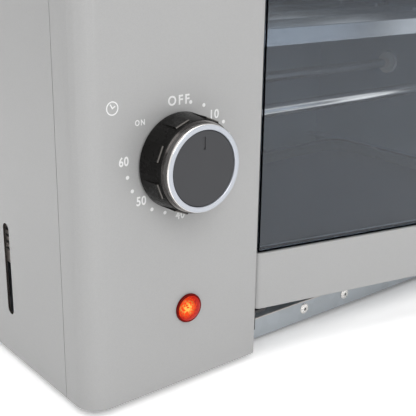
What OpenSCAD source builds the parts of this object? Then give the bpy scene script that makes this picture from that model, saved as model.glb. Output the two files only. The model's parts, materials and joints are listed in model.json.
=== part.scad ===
// Table-top electric skewer grill.
// A folded steel cabinet with a control column on the left, a glazed side-hung door,
// a pull-out drip tray, two heating tubes and five skewers turned by a train of gears.
// Frame: x to the right, y to the back, z up. The origin is on the table, under the
// middle of the whole grill as it stands with its door ajar. Sizes are in millimetres.

/* [Cabinet] */
// Width over the two side walls
body_w = 460; // [440:1:500]
// Depth from the front face to the back edge
body_d = 299; // [285:1:330]
// Height of the top above the table
body_h = 230; // [226:1:250]
// Thickness of the folded sheet
sheet = 1.2; // [0.9:0.1:1.5]
// Radius of the rounded outer edges
edge_r = 12; // [8:0.5:16]
// Height of the lower cabinet edge above the table
base_gap = 3; // [2.6:0.1:3.4]
// Width of the control column
col_w = 100.3; // [97:0.1:106]
// Width of the post on the right of the door
post_w = 20.4; // [16:0.1:26]
// Depth of the front shell, up to the seam
shell_d = 20.2; // [19:0.1:24]
// Gap at the seam between front shell and wrapper
seam_gap = 0.5; // [0.3:0.1:1]
// Height of the header above the door opening
header_h = 25; // [22:1:30]
// Radius of the folded edges round the door opening
fold_r = 1.6; // [1.5:0.1:2]

/* [Vents] */
// Number of upright slots in each side wall
vent_n = 8; // [1:1:11]
// Distance from one slot to the next
vent_pitch = 18; // [12:1:20]
// Width of a slot
vent_w = 6.2; // [4:0.1:8]
// Length of a slot
vent_len = 49; // [30:1:60]
// Height of the slots' lower ends
vent_z = 25.7; // [22:0.1:40]
// Distance of the first slot from the front face
vent_v = 75; // [60:1:80]
// Gap between the left side wall and the guard behind its slots
guard_gap = 2; // [1.5:0.1:3]
// Height of the guard's lower edge above the table
guard_z = 53.6; // [44:0.1:58]
// Rows of narrow slits in the guard
slit_rows = 7; // [4:1:8]
// Distance from one row of slits to the next
slit_pitch = 3.65; // [3.4:0.05:4]
// Height of a slit
slit_h = 1.2; // [1:0.1:1.6]
// Rows of louvres in the back panel
louvre_rows = 5; // [1:1:6]
// Height of a louvre hood
louvre_r = 5; // [4:0.1:6]
// Length of a louvre
louvre_len = 62; // [40:1:80]

/* [Base] */
// Distance of the pan's front skirt behind the front face
skirt_v = 13; // [12.8:0.1:14]
// Height of the skirt's lower edge above the table
skirt_z0 = 2; // [1.4:0.1:2.4]
// Height of the skirt's top edge above the table
skirt_z1 = 14; // [13:0.1:14.4]
// Depth of the lip that is folded back from the skirt
lip_d = 6; // [3:0.1:6.4]
// Radius of a foot
foot_r = 9; // [7:0.5:12]
// Distance of the feet from the side walls
foot_in = 26; // [20:1:40]
// Distance of the front feet behind the front face
foot_v = 36; // [30:1:60]
// Radius of a rivet head
rivet_r = 3.1; // [2.4:0.1:3.6]
// Distance of the outer rivets from the ends of the door opening
rivet_in = 49.5; // [40:0.5:60]
// Distance between the two rivets of a pair
rivet_gap = 33.8; // [20:0.1:50]

/* [Knob and lamp] */
// Distance of the knob axis from the left side
knob_in = 50; // [46:0.5:54]
// Height of the knob axis above the table
knob_z = 115.2; // [100:0.1:120]
// Radius of the knob at its foot
knob_r = 22; // [21.4:0.1:24]
// Radius of the bright ring
ring_r = 19.4; // [18.4:0.1:20.4]
// Radius of the dark disc
disc_r = 17; // [16:0.1:17.6]
// Height of the knob in front of the panel
knob_h = 19; // [17:0.1:23]
// Number of raised grip pads round the knob
pad_n = 8; // [6:1:10]
// Width of a grip pad
pad_w = 7.3; // [5:0.1:9]
// Height of a grip pad's end above the barrel
pad_rise = 0.7; // [0.4:0.1:1]
// Radius of the timer shaft
timer_r = 3; // [2.5:0.1:3.5]
// Depth to which the timer shaft reaches behind the panel
shaft_in = 13; // [12:0.5:20]
// Radius of the timer's clockwork case
case_r = 20; // [18:0.5:21]
// Depth of the timer's clockwork case
case_d = 30; // [24:1:40]
// Distance of the lamp to the right of the knob axis
lamp_dx = 5.9; // [0:0.1:12]
// Distance of the lamp below the knob axis
lamp_drop = 73.8; // [60:0.1:80]
// Radius of the lamp's rim
lamp_r = 7.2; // [6:0.1:9]

/* [Door] */
// Angle at which the door stands ajar
ajar = 12.1; // [8:0.1:20]
// Thickness of the door
door_t = 12; // [11:0.1:12.4]
// Height of the door's lower edge above the table
door_z0 = 26.9; // [26.4:0.1:28]
// Height of the bottom rail
rail_h = 30.8; // [26:0.1:36]
// Height of the top rail
head_h = 20; // [16:0.5:26]
// Width of the stile on the handle side
stile_w = 30; // [24:1:40]
// Gap round the closed door
door_gap = 1.2; // [1:0.1:1.8]
// Thickness of the glass
glass_t = 4; // [3:0.1:5]
// Distance of the glass behind the door's face
glass_in = 2.5; // [2:0.1:3]
// Depth to which the glass sits in its grooves
glass_bite = 8; // [5:0.5:10]
// Radius of a hinge pin
pin_r = 1.5; // [1.2:0.1:1.8]
// Radius of the handle bar
bar_r = 6; // [5:0.1:7]
// Length of the handle bar
bar_len = 104; // [90:1:116]
// Clear space for fingers behind the bar
finger = 18; // [16:0.5:24]

/* [Tray] */
// Height of the tray's underside above the table
tray_z = 15; // [14.8:0.1:15.4]
// Height of the tray
tray_h = 10.5; // [9.5:0.1:11]
// Width of the tray's rim
tray_rim = 6; // [5:0.1:7]
// Sheet thickness of the tray
tray_t = 1; // [0.8:0.1:1.1]
// Distance of the tray's rim behind the front face
tray_v = 46; // [44:1:60]
// Depth of the tray from front to back
tray_d = 204; // [160:1:220]
// Radius of the tray's upright corners
tray_r = 14; // [8:1:20]

/* [Drive] */
// Number of skewers
skewer_n = 5; // [5:1:5]
// Height of the skewers above the table
skewer_z = 155; // [153:0.5:160]
// Distance of the first skewer behind the front face
skewer_v = 70; // [64:1:76]
// Gear module
mod_m = 2; // [2:0.02:2.1]
// Number of teeth on a skewer gear
gear_n = 20; // [20:2:20]
// Number of teeth on the motor pinion
pinion_n = 12; // [12:2:14]
// Face width of the gears
gear_w = 6; // [5:0.5:7]
// Thinning of each tooth at the pitch circle
backlash = 0.16; // [0.12:0.01:0.3]
// Radius of a spindle in its bush
spindle_r = 4; // [3.6:0.1:4.4]
// Running clearance of the shafts
run = 0.05; // [0.03:0.01:0.08]
// Side of a skewer's square tang
tang = 6; // [5:0.1:7]
// Length of a tang in its socket
tang_len = 12; // [9:0.5:14]
// Width of a skewer's blade
blade_w = 10; // [8:0.5:14]
// Thickness of a skewer's blade
blade_t = 1.8; // [1.4:0.1:2.4]
// Radius of a skewer's neck
neck_r = 3; // [2.4:0.1:3.2]
// Distance of the rest behind the right end of the opening
rest_in = 23; // [20:0.5:30]
// Radius of the drive motor
motor_r = 25; // [22:0.5:27]
// Depth of the motor's gear case
motor_case = 12; // [10:0.5:14]
// Depth of the motor's can behind the gear case
motor_can = 12; // [10:0.5:14]

/* [Heating] */
// Radius of a heating tube
tube_r = 4.2; // [3.6:0.1:4.6]
// Height of the tubes above the table
tube_z = 103.8; // [96:0.1:106]
// Distance of the front tube behind the front face
tube_v1 = 100; // [94:1:104]
// Distance of the rear tube behind the front face
tube_v2 = 200; // [190:1:208]

/* [Cord inlet] */
// Radius of the gland's bore
gland_bore = 3.6; // [3:0.1:4.2]
// Reach of the gland behind the cabinet
gland_out = 12; // [8:0.5:16]

/* [Hidden] */
$fn = 64;

// Sides of the cabinet and of the door opening
xl = -body_w / 2;
xr = body_w / 2;
ox0 = xl + col_w;
ox1 = xr - post_w;
open_top = body_h - header_h;
knob_x = xl + knob_in;

// Hinge axis: the round end of the door is centred on it
end_r = 3.2;
px = ox0 + 0.7 + end_r;
pv = end_r;
dx1 = ox1 - door_gap;
door_z1 = open_top - 1.5;

// The handle is the foremost part of the door as it stands ajar
bar_v = -(finger + bar_r);
bar_x = dx1 - stile_w / 2;
front_reach = (bar_x - px) * sin(ajar) + (pv - bar_v) * cos(ajar) + bar_r - pv;
yf = front_reach - (front_reach + body_d + gland_out) / 2;

// Floor of the base pan
floor_z0 = base_gap + sheet;
floor_z1 = floor_z0 + sheet;
foot_h = floor_z0;
rivet_z = skirt_z1 - 4.8;

// Chamber walls stand against the folded edges of the door opening
wl0 = ox0 - 2 * sheet;
wl1 = ox0 - sheet;
wr0 = ox1 + sheet;
wr1 = ox1 + 2 * sheet;
shell_v = body_d - 12;
roof_z = open_top + sheet;

// Gear train
pitch = mod_m * gear_n;
gear_r = pitch / 2;
pinion_r = mod_m * pinion_n / 2;
stub = 0.8 * mod_m;
pinion_v = skewer_v + 2 * pitch;
pinion_z = skewer_z - gear_r - pinion_r;
plate_x0 = wl0 - 18;
plate_x1 = plate_x0 + 1.5;
gear_x0 = plate_x1 + 4.6;
gear_x1 = gear_x0 + gear_w;
bush_r = spindle_r + 2.5;
bush_x0 = wl0 - 1.5;
bush_x1 = wl1 + 2;
stub_r = spindle_r - 1;
hub_x0 = bush_x1 + 0.3;
hub_x1 = hub_x0 + tang_len + 3;
hub_r = tang / 2 * sqrt(2) + 3.4;
socket_x = hub_x1 - tang_len - 0.4;

// Skewer rest
rest_x = ox1 - rest_in;
rest_t = 1.5;
rest_z = skewer_z - 27;
notch_r = neck_r + 0.35;
pull = tang_len - 0.4;

// Tray, hung by its rim on two rails; the rim passes beside the lower hinge bracket
flange_x = px + end_r + 0.5;
tx0 = flange_x + 0.6 + tray_rim;
tx1 = ox1 - (tx0 - ox0);
rail_x = tx0 - 0.5;
rail_xr = tx1 + 0.5;
rim_z1 = tray_z + tray_h;
rim_z0 = rim_z1 - tray_t;
rail_z1 = rim_z0 - 0.3;

// ---- helpers -------------------------------------------------------------

module box(x0, x1, v0, v1, z0, z1) {
  translate([x0, yf + v0, z0]) cube([x1 - x0, v1 - v0, z1 - z0]);
}

module rod_x(x0, x1, v, z, r) {
  translate([x0, yf + v, z]) rotate([0, 90, 0]) cylinder(r = r, h = x1 - x0);
}

module rod_y(x, v0, v1, z, r) {
  translate([x, yf + v1, z]) rotate([90, 0, 0]) cylinder(r = r, h = v1 - v0);
}

module rod_z(x, v, z0, z1, r) {
  translate([x, yf + v, z0]) cylinder(r = r, h = z1 - z0);
}

// Extrude a profile drawn in x and z along the depth
module along_y(v0, v1) {
  translate([0, yf + v1, 0]) rotate([90, 0, 0]) linear_extrude(v1 - v0) children();
}

// Extrude a profile drawn in depth and z along x
module along_x(x0, x1) {
  translate([x0, yf, 0]) rotate([90, 0, 90]) linear_extrude(x1 - x0) children();
}

// Rectangle with its two upper corners rounded
module arch2d(x0, x1, z0, z1, r) {
  translate([x0, z0]) square([x1 - x0, z1 - r - z0]);
  translate([x0 + r, z0]) square([x1 - x0 - 2 * r, z1 - z0]);
  translate([x0 + r, z1 - r]) circle(r);
  translate([x1 - r, z1 - r]) circle(r);
}

// Rectangle with only its upper right corner rounded
module knee2d(x0, x1, z0, z1, r) {
  translate([x0, z0]) square([x1 - x0, z1 - r - z0]);
  translate([x0, z0]) square([x1 - x0 - r, z1 - z0]);
  translate([x1 - r, z1 - r]) circle(r);
}

// Rectangle with four rounded corners
module round2d(x0, x1, y0, y1, r) {
  translate([x0 + r, y0]) square([x1 - x0 - 2 * r, y1 - y0]);
  translate([x0, y0 + r]) square([x1 - x0, y1 - y0 - 2 * r]);
  for (x = [x0 + r, x1 - r])
    for (y = [y0 + r, y1 - r])
      translate([x, y]) circle(r);
}

// Slot with round ends, upright
module slot2d(v, z0, z1, w) {
  translate([v - w / 2, z0 + w / 2]) square([w, z1 - z0 - w]);
  translate([v, z0 + w / 2]) circle(w / 2);
  translate([v, z1 - w / 2]) circle(w / 2);
}

// Block whose front and top outer edges are all rounded
module soft_block(x0, x1, v0, v1, z0, z1, r) {
  intersection() {
    along_y(v0, v1) arch2d(x0, x1, z0, z1, r);
    translate([0, yf, z0]) linear_extrude(z1 - z0)
      mirror([0, 1, 0]) arch2d(x0, x1, -v1, -v0, r);
    along_x(x0, x1) mirror([1, 0, 0]) knee2d(-v1, -v0, z0, z1, r);
  }
}

// Waste outside a rounded fold on an upright edge; side is 1 or -1
module fold_waste(x, z0, z1, side) {
  difference() {
    box(x - (side > 0 ? fold_r : 0.5), x + (side > 0 ? 0.5 : fold_r),
      -0.5, fold_r, z0 - 1, z1 + 1);
    rod_z(x - side * fold_r, fold_r, z0 - 2, z1 + 2, fold_r);
    box(x - (side > 0 ? fold_r + 1 : 0), x + (side > 0 ? 0 : fold_r + 1),
      fold_r - 0.001, fold_r + 1, z0 - 2, z1 + 2);
  }
}

// Pan-head screw along the negative depth direction, head outside
module screw_back(x, v, z, r, len) {
  difference() {
    translate([x, yf + v, z]) rotate([-90, 0, 0]) rotate_extrude()
      polygon([[0, -len], [r * 0.5, -len], [r * 0.5, 0], [r, 0], [r, r * 0.3],
        [r * 0.82, r * 0.6], [0, r * 0.72]]);
    box(x - r * 0.62, x + r * 0.62, v + r * 0.35, v + r, z - r * 0.12, z + r * 0.12);
    box(x - r * 0.12, x + r * 0.12, v + r * 0.35, v + r, z - r * 0.62, z + r * 0.62);
  }
}

// ---- cabinet -------------------------------------------------------------

module front_frame() {
  color("silver") difference() {
    union() {
      difference() {
        soft_block(xl, xr, 0, shell_d, base_gap, body_h, edge_r);
        soft_block(xl + sheet, xr - sheet, sheet, shell_d + 1, base_gap - 1,
          body_h - sheet, edge_r - sheet);
        box(ox0, ox1, -1, shell_d + 1, base_gap - 1, open_top);
      }
      box(ox0 - sheet, ox0, 0, shell_d, floor_z1, open_top + sheet);
      box(ox1, ox1 + sheet, 0, shell_d, floor_z1, open_top + sheet);
      box(ox0 - sheet, ox1 + sheet, 0, shell_d, open_top, open_top + sheet);
    }
    fold_waste(ox0, base_gap, open_top - 1.001, 1);
    fold_waste(ox1, base_gap, open_top - 1.001, -1);
    rod_y(knob_x, -1, sheet + 1, knob_z, timer_r + 2);
    rod_y(knob_x + lamp_dx, -1, sheet + 1, knob_z - lamp_drop, lamp_r - 1.2);
  }
}

module cabinet_wrap() {
  color("gainsboro") difference() {
    along_y(shell_d + seam_gap, body_d) difference() {
      arch2d(xl, xr, base_gap, body_h, edge_r);
      difference() {
        arch2d(xl + sheet, xr - sheet, base_gap - 1, body_h - sheet, edge_r - sheet);
        translate([xl, base_gap - 2]) square([sheet + 14, sheet + 2]);
        translate([xr - sheet - 14, base_gap - 2]) square([sheet + 14, sheet + 2]);
      }
    }
    for (i = [0:vent_n - 1])
      along_x(xl - 1, xr + 1)
        slot2d(vent_v + i * vent_pitch, vent_z, vent_z + vent_len, vent_w);
  }
}

// Guard behind the slots of the left wall: its folded lip stands against the wall
module vent_guard() {
  x0 = xl + sheet + guard_gap;
  z1 = guard_z + 6.5 + slit_rows * slit_pitch + 4;
  v0 = vent_v - vent_pitch / 2;
  v1 = vent_v + (vent_n - 0.5) * vent_pitch;
  color("silver") difference() {
    union() {
      box(x0, x0 + 0.8, v0, v1, guard_z, z1);
      box(xl + sheet, x0 + 0.8, v0, v1, z1 - 0.8, z1);
    }
    for (i = [0:vent_n - 1])
      for (j = [0:slit_rows - 1])
        box(x0 - 1, x0 + 2, vent_v + i * vent_pitch - vent_w, vent_v + i * vent_pitch + vent_w,
          guard_z + 6.5 + j * slit_pitch, guard_z + 6.5 + j * slit_pitch + slit_h);
  }
}

louvre_z = 60;
louvre_step = 3.4 * louvre_r;
louvre_x = body_w * 0.25;

// A hood pressed outwards, open on its underside
module louvre(x, z) {
  difference() {
    intersection() {
      rod_x(x - louvre_len / 2, x + louvre_len / 2, body_d, z, louvre_r);
      box(x - louvre_len, x + louvre_len, body_d, body_d + louvre_r + 1,
        z, z + louvre_r + 1);
    }
    rod_x(x - louvre_len / 2 + sheet, x + louvre_len / 2 - sheet, body_d, z,
      louvre_r - sheet);
  }
}

module back_panel() {
  color("gainsboro") union() {
    difference() {
      along_y(body_d - sheet, body_d)
        arch2d(xl + sheet, xr - sheet, floor_z1, body_h - sheet, edge_r - sheet);
      for (s = [-1, 1])
        for (i = [0:louvre_rows - 1])
          box(s * louvre_x - louvre_len / 2 + sheet, s * louvre_x + louvre_len / 2 - sheet,
            body_d - sheet - 1, body_d + 1, louvre_z + i * louvre_step,
            louvre_z + i * louvre_step + louvre_r - sheet - 0.3);
      rod_y(gland_x, body_d - sheet - 1, body_d + 1, gland_z, gland_r);
      for (p = back_holes)
        rod_y(p[0], body_d - sheet - 1, body_d + 1, p[1], 1.6);
    }
    for (s = [-1, 1])
      for (i = [0:louvre_rows - 1])
        louvre(s * louvre_x, louvre_z + i * louvre_step);
  }
}

back_holes = [for (s = [-1, 0, 1]) for (z = [floor_z1 + 9, body_h - sheet - 9])
  [s * (body_w / 2 - 24), z]];

module back_screws() {
  color("darkgray") for (p = back_holes) screw_back(p[0], body_d, p[1], 3.2, 7);
}

module base_pan() {
  color("lightsteelblue") difference() {
    union() {
      box(xl + sheet, xr - sheet, skirt_v, body_d - sheet, floor_z0, floor_z1);
      box(ox0, ox1, skirt_v, skirt_v + sheet, skirt_z0, skirt_z1);
      box(ox0, ox1, skirt_v, skirt_v + lip_d, skirt_z1 - sheet, skirt_z1);
      for (x = [xl + sheet, xr - 2 * sheet])
        box(x, x + sheet, shell_d + seam_gap, body_d - sheet, floor_z0, 18);
    }
    for (x = rivet_x)
      rod_y(x, skirt_v - 1, skirt_v + sheet + 1, rivet_z, 1.6);
    for (p = foot_at)
      rod_z(p[0], p[1], floor_z0 - 1, floor_z1 + 1, 1.6);
  }
}

rivet_x = [ox0 + rivet_in, ox0 + rivet_in + rivet_gap,
  ox1 - rivet_in - rivet_gap, ox1 - rivet_in];
foot_at = [for (x = [xl + foot_in, xr - foot_in]) for (v = [foot_v, body_d - 29]) [x, v]];

module front_stiffener() {
  color("lightsteelblue") difference() {
    union() {
      box(ox0, ox1, skirt_v + sheet, skirt_v + 2 * sheet, floor_z1, skirt_z1 - sheet);
      box(ox0, ox1, skirt_v + sheet, skirt_v + 14, floor_z1, floor_z1 + sheet);
    }
    for (x = rivet_x)
      rod_y(x, skirt_v, skirt_v + 4, rivet_z, 1.6);
  }
}

// Blind rivets: a domed head with its pulled core, and the spread tail behind
module pan_rivets() {
  color("silver") for (x = rivet_x)
    translate([x, yf + skirt_v, rivet_z]) rotate([90, 0, 0]) rotate_extrude($fn = 48)
      polygon([[0.9, -2 * sheet - 2], [2.3, -2 * sheet - 1.6], [2.3, -2 * sheet],
        [1.6, -2 * sheet], [1.6, 0], [rivet_r, 0], [rivet_r, 0.35],
        [rivet_r * 0.8, 0.8], [rivet_r * 0.45, 1.05], [0.9, 1.1]]);
}

module feet() {
  color("dimgray") for (p = foot_at)
    difference() {
      translate([p[0], yf + p[1], 0]) rotate_extrude()
        polygon([[0, 0], [foot_r - 1.2, 0], [foot_r - 0.4, 0.5], [foot_r, foot_h],
          [0, foot_h]]);
      rod_z(p[0], p[1], -1, 2, 3.8);
      rod_z(p[0], p[1], -2, foot_h + 1, 1.6);
    }
}

module foot_screws() {
  color("silver") for (p = foot_at)
    difference() {
      translate([p[0], yf + p[1], 0]) rotate_extrude()
        polygon([[0, 0.6], [2.4, 0.6], [3.2, 1.2], [3.2, 2], [1.6, 2], [1.6, 9], [0, 9.6]]);
      box(p[0] - 2, p[0] + 2, p[1] - 0.4, p[1] + 0.4, 0, 1.2);
    }
}

// ---- chamber -------------------------------------------------------------

skewer_at = [for (i = [0:skewer_n - 1]) skewer_v + i * pitch];
tube_at = [tube_v1, tube_v2];
ins_r = tube_r + 2.8;

// Upright wall whose front upper corner follows the rounded edge of the shell
module chamber_wall(x0, x1) {
  along_x(x0, x1) mirror([1, 0, 0])
    knee2d(sheet - body_d, -sheet, floor_z1, body_h - sheet, edge_r - sheet);
}

module liner_left() {
  color("silver") difference() {
    chamber_wall(wl0, wl1);
    for (v = skewer_at) rod_x(wl0 - 1, wl1 + 1, v, skewer_z, bush_r);
    for (v = tube_at) rod_x(wl0 - 1, wl1 + 1, v, tube_z, ins_r);
  }
}

module liner_right() {
  color("silver") difference() {
    chamber_wall(wr0, wr1);
    for (v = tube_at) rod_x(wr0 - 1, wr1 + 1, v, tube_z, ins_r);
  }
}

// Roof and back of the chamber, one sheet with a round bend
module liner_shell() {
  color("silver") along_x(wl1, wr0) difference() {
    knee2d(sheet, shell_v, floor_z1, roof_z + sheet, 10);
    knee2d(sheet - 1, shell_v - sheet, floor_z1 - 1, roof_z, 10 - sheet);
  }
}

// Comb that carries the free ends of the skewers
module rest_comb() {
  v0 = skewer_v - 18;
  v1 = skewer_v + (skewer_n - 1) * pitch + 18;
  color("silver") union() {
    along_x(rest_x, rest_x + rest_t) difference() {
      round2d(v0, v1, rest_z, skewer_z + 10, 3);
      for (v = skewer_at) {
        translate([v, skewer_z]) circle(notch_r);
        translate([v - notch_r, skewer_z]) square([2 * notch_r, 20]);
      }
      translate([v0 - 1, rest_z - 1]) square([v1 - v0 + 2, rest_t + 1]);
    }
    box(rest_x, wr0, v0, v1, rest_z, rest_z + rest_t);
    box(wr0 - rest_t, wr0, v0, v1, rest_z - 14, rest_z);
  }
}

module tray_rails() {
  color("silver") {
    box(wl1, wl1 + sheet, shell_d + 0.3, shell_v - sheet - 0.5, rail_z1 - 9, rail_z1);
    box(wl1, rail_x, shell_d + 0.3, shell_v - sheet - 0.5, rail_z1 - sheet, rail_z1);
    box(wr0 - sheet, wr0, shell_d + 0.3, shell_v - sheet - 0.5, rail_z1 - 9, rail_z1);
    box(rail_xr, wr0, shell_d + 0.3, shell_v - sheet - 0.5, rail_z1 - sheet, rail_z1);
  }
}

// Drawn tray with rounded corners, a flat rim and a finger tab at the front
module drip_tray() {
  rim = tray_rim;
  tab_x = (tx0 + tx1) / 2;
  color("dimgray") difference() {
    union() {
      translate([0, yf, tray_z]) linear_extrude(tray_h)
        round2d(tx0, tx1, tray_v + rim, tray_v + tray_d - rim, tray_r);
      translate([0, yf, rim_z0]) linear_extrude(tray_t)
        round2d(tx0 - rim, tx1 + rim, tray_v, tray_v + tray_d, tray_r + rim);
      translate([0, yf, rim_z0]) linear_extrude(tray_t)
        round2d(tab_x - 34, tab_x + 34, tray_v - 24, tray_v + 8, 8);
    }
    translate([0, yf, tray_z + tray_t]) linear_extrude(tray_h)
      round2d(tx0 + tray_t, tx1 - tray_t, tray_v + rim + tray_t,
        tray_v + tray_d - rim - tray_t, tray_r - tray_t);
    translate([0, yf, tray_z]) linear_extrude(tray_h + 1)
      round2d(tab_x - 16, tab_x + 16, tray_v - 17, tray_v - 5, 5.9);
  }
}

// ---- door ----------------------------------------------------------------

// The door is drawn shut and then swung to the angle at which it stands
module swung() {
  translate([px, yf + pv, 0]) rotate([0, 0, -ajar])
    translate([-px, -yf - pv, 0]) children();
}

gz0 = door_z0 + rail_h - glass_bite;
gz1 = door_z1 - head_h + glass_bite;
gx0 = px + 0.6;
gx1 = dx1 - stile_w + glass_bite;

module rail2d() {
  translate([px, 0]) square([dx1 - px, door_t]);
  translate([px - end_r, pv]) square([end_r + 1, door_t - pv]);
  translate([px, pv]) circle(end_r);
}

module door_rail_bottom() {
  color("silver") swung() difference() {
    translate([0, yf, door_z0]) linear_extrude(rail_h) rail2d();
    box(gx0, gx1, glass_in, glass_in + glass_t, gz0, door_z0 + rail_h + 1);
    rod_z(px, pv, door_z0 - 1, door_z0 + 14, pin_r + run);
  }
}

module door_rail_top() {
  color("silver") swung() difference() {
    translate([0, yf, door_z1 - head_h]) linear_extrude(head_h) rail2d();
    box(gx0, gx1, glass_in, glass_in + glass_t, door_z1 - head_h - 1, gz1);
    rod_z(px, pv, door_z1 - 11, door_z1 + 1, pin_r + run);
  }
}

module door_stile() {
  color("silver") swung() difference() {
    box(dx1 - stile_w, dx1, 0, door_t, door_z0 + rail_h, door_z1 - head_h);
    box(dx1 - stile_w - 1, gx1, glass_in, glass_in + glass_t, door_z0 + rail_h - 1,
      door_z1 - head_h + 1);
    for (z = post_z) rod_y(bar_x, -1, 6, z, 1.6);
  }
}

module door_glass() {
  color([0.3, 0.33, 0.36, 0.5]) swung()
    box(gx0, gx1, glass_in, glass_in + glass_t, gz0, gz1);
}

// Dark edge strip that covers the free edge of the glass
module door_seal() {
  z0 = door_z0 + rail_h;
  z1 = door_z1 - head_h;
  color("black") swung() difference() {
    box(px - 2.4, px + 3.4, glass_in - 1, glass_in + glass_t + 1.6, z0, z1);
    box(gx0, px + 4, glass_in, glass_in + glass_t, z0 - 1, z1 + 1);
  }
}

bar_z = (door_z0 + rail_h + door_z1 - head_h) / 2;
post_z = [bar_z - bar_len / 2 + 16, bar_z + bar_len / 2 - 16];

// Bar with softly rounded ends
module handle_bar() {
  c = 2;
  color("gainsboro") swung() difference() {
    translate([bar_x, yf + bar_v, bar_z]) rotate_extrude() {
      translate([0, -bar_len / 2]) square([bar_r - c, bar_len]);
      translate([0, -bar_len / 2 + c]) square([bar_r, bar_len - 2 * c]);
      translate([bar_r - c, bar_len / 2 - c]) circle(c);
      translate([bar_r - c, -bar_len / 2 + c]) circle(c);
    }
    for (z = post_z) rod_y(bar_x, bar_v - 2, bar_v + bar_r + 1, z, 2.5);
  }
}

module handle_posts() {
  color("gainsboro") swung() for (z = post_z) {
    rod_y(bar_x, bar_v - 2, 0, z, 2.5);
    translate([bar_x, yf, z]) rotate([90, 0, 0]) rotate_extrude()
      polygon([[0, 0], [6, 0], [6, 1.2], [4.4, 2.4], [3.6, 5], [3.6, finger - 2.5],
        [2.5, finger - 2.5], [0, finger - 2.5]]);
    rod_y(bar_x, 0, 6, z, 1.6);
  }
}

module hinge_brackets() {
  color("dimgray") difference() {
    union() {
      box(ox0, flange_x, 0.6, 10, door_z0 - 1.8, door_z0 - 0.3);
      box(ox0, ox0 + 1.4, 1.8, 12, skirt_z1 + 1, door_z0 - 0.3);
      box(ox0, flange_x, 0.6, 10, door_z1 + 0.3, open_top);
    }
    rod_z(px, pv, door_z0 - 3, open_top + 1, pin_r);
  }
}

module hinge_pins() {
  color("silver") {
    rod_z(px, pv, door_z0 - 2.4, door_z0 + 13, pin_r);
    rod_z(px, pv, door_z1 - 10, open_top, pin_r);
  }
}

catch_z = bar_z - 12;

module catch_magnet() {
  color("dimgray") difference() {
    box(ox1 - 9, ox1, door_t + 0.9, shell_d - 0.3, catch_z, catch_z + 26);
    box(ox1 - 7.2, ox1 - 1.8, door_t, door_t + 1.6, catch_z + 3, catch_z + 23);
  }
}

module catch_striker() {
  color("silver") swung()
    box(dx1 - 8.6, dx1 - 0.6, door_t, door_t + 0.5, catch_z + 2, catch_z + 24);
}

// ---- knob, timer and lamp --------------------------------------------------

module knob_frame() {
  translate([knob_x, yf, knob_z]) rotate([90, 0, 0]) children();
}

barrel_h = knob_h - 4;
barrel_r = ring_r + 1.4;
collar_r = ring_r + 0.4;
lift = 0.8;
rim_h = 1.1;

// Grip pad: its outer face leans less than the barrel, so that it ends in a step
module grip_pad() {
  top = barrel_h - 1.5;
  rotate([90, 0, 0]) linear_extrude(pad_w, center = true)
    polygon([[ring_r - 4, lift + 0.8], [knob_r - 0.4, lift + 0.8],
      [barrel_r + pad_rise, top - 0.4], [barrel_r + pad_rise - 0.4, top],
      [ring_r - 4, top]]);
}

// Tapered grip with raised pads, under a smooth collar
module knob_body() {
  color("black") knob_frame() union() {
    rotate_extrude($fn = 96)
      polygon([[timer_r, knob_h - 5.6], [timer_r, 3.4], [7.6, 3.4], [7.6, 2.6],
        [knob_r - 5, 2.6], [knob_r - 5, lift], [knob_r - 0.5, lift], [knob_r, lift + 0.5],
        [barrel_r, barrel_h - 0.4], [barrel_r - 0.4, barrel_h], [collar_r, barrel_h],
        [collar_r, knob_h - rim_h], [disc_r - 0.6, knob_h - rim_h],
        [disc_r - 0.6, knob_h - 3.6], [timer_r, knob_h - 3.6]]);
    for (i = [0:pad_n - 1])
      rotate([0, 0, 90 + 22 - i * 360 / pad_n]) grip_pad();
  }
}

module knob_ring() {
  color("lightsteelblue") knob_frame() rotate_extrude($fn = 96)
    polygon([[disc_r, knob_h - rim_h], [ring_r + 0.2, knob_h - rim_h],
      [ring_r + 0.2, knob_h - 0.7], [ring_r, knob_h - 0.25], [ring_r - 0.4, knob_h],
      [disc_r + 0.3, knob_h], [disc_r, knob_h - 0.3]]);
}

// Dark disc with the pointer line sunk into it
module knob_cap() {
  color("dimgray") knob_frame() difference() {
    rotate_extrude($fn = 96)
      polygon([[0, knob_h - 3.6], [disc_r - 0.6, knob_h - 3.6],
        [disc_r - 0.6, knob_h - rim_h], [disc_r, knob_h - rim_h], [disc_r, knob_h - 0.9],
        [disc_r - 0.4, knob_h - 0.5], [0, knob_h - 0.5]]);
    translate([-0.5, disc_r * 0.5, knob_h - 1]) cube([1, disc_r * 0.32, 2]);
  }
}

// Shaft with its flat at the knob end
module timer_shaft() {
  color("silver") knob_frame()
    translate([0, 0, -shaft_in]) cylinder(r = timer_r, h = knob_h - 5.6 + shaft_in);
}

module timer_case() {
  color("ivory") difference() {
    union() {
      along_y(sheet, sheet + 3) round2d(knob_x - case_r - 1, knob_x + case_r + 1,
        knob_z - case_r - 4, knob_z + case_r + 4, 4);
      rod_y(knob_x, sheet + 3, sheet + case_d, knob_z, case_r);
      rod_y(knob_x, -1.2, sheet, knob_z, timer_r + 2);
      for (s = [-1, 1])
        box(knob_x + s * case_r * 0.45 - 3, knob_x + s * case_r * 0.45 + 3, sheet + case_d,
          sheet + case_d + 8, knob_z - 0.4, knob_z + 0.4);
    }
    rod_y(knob_x, -2, shaft_in + 0.6, knob_z, timer_r + run);
  }
}

lamp_x = knob_x + lamp_dx;
lamp_z = knob_z - lamp_drop;

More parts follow.
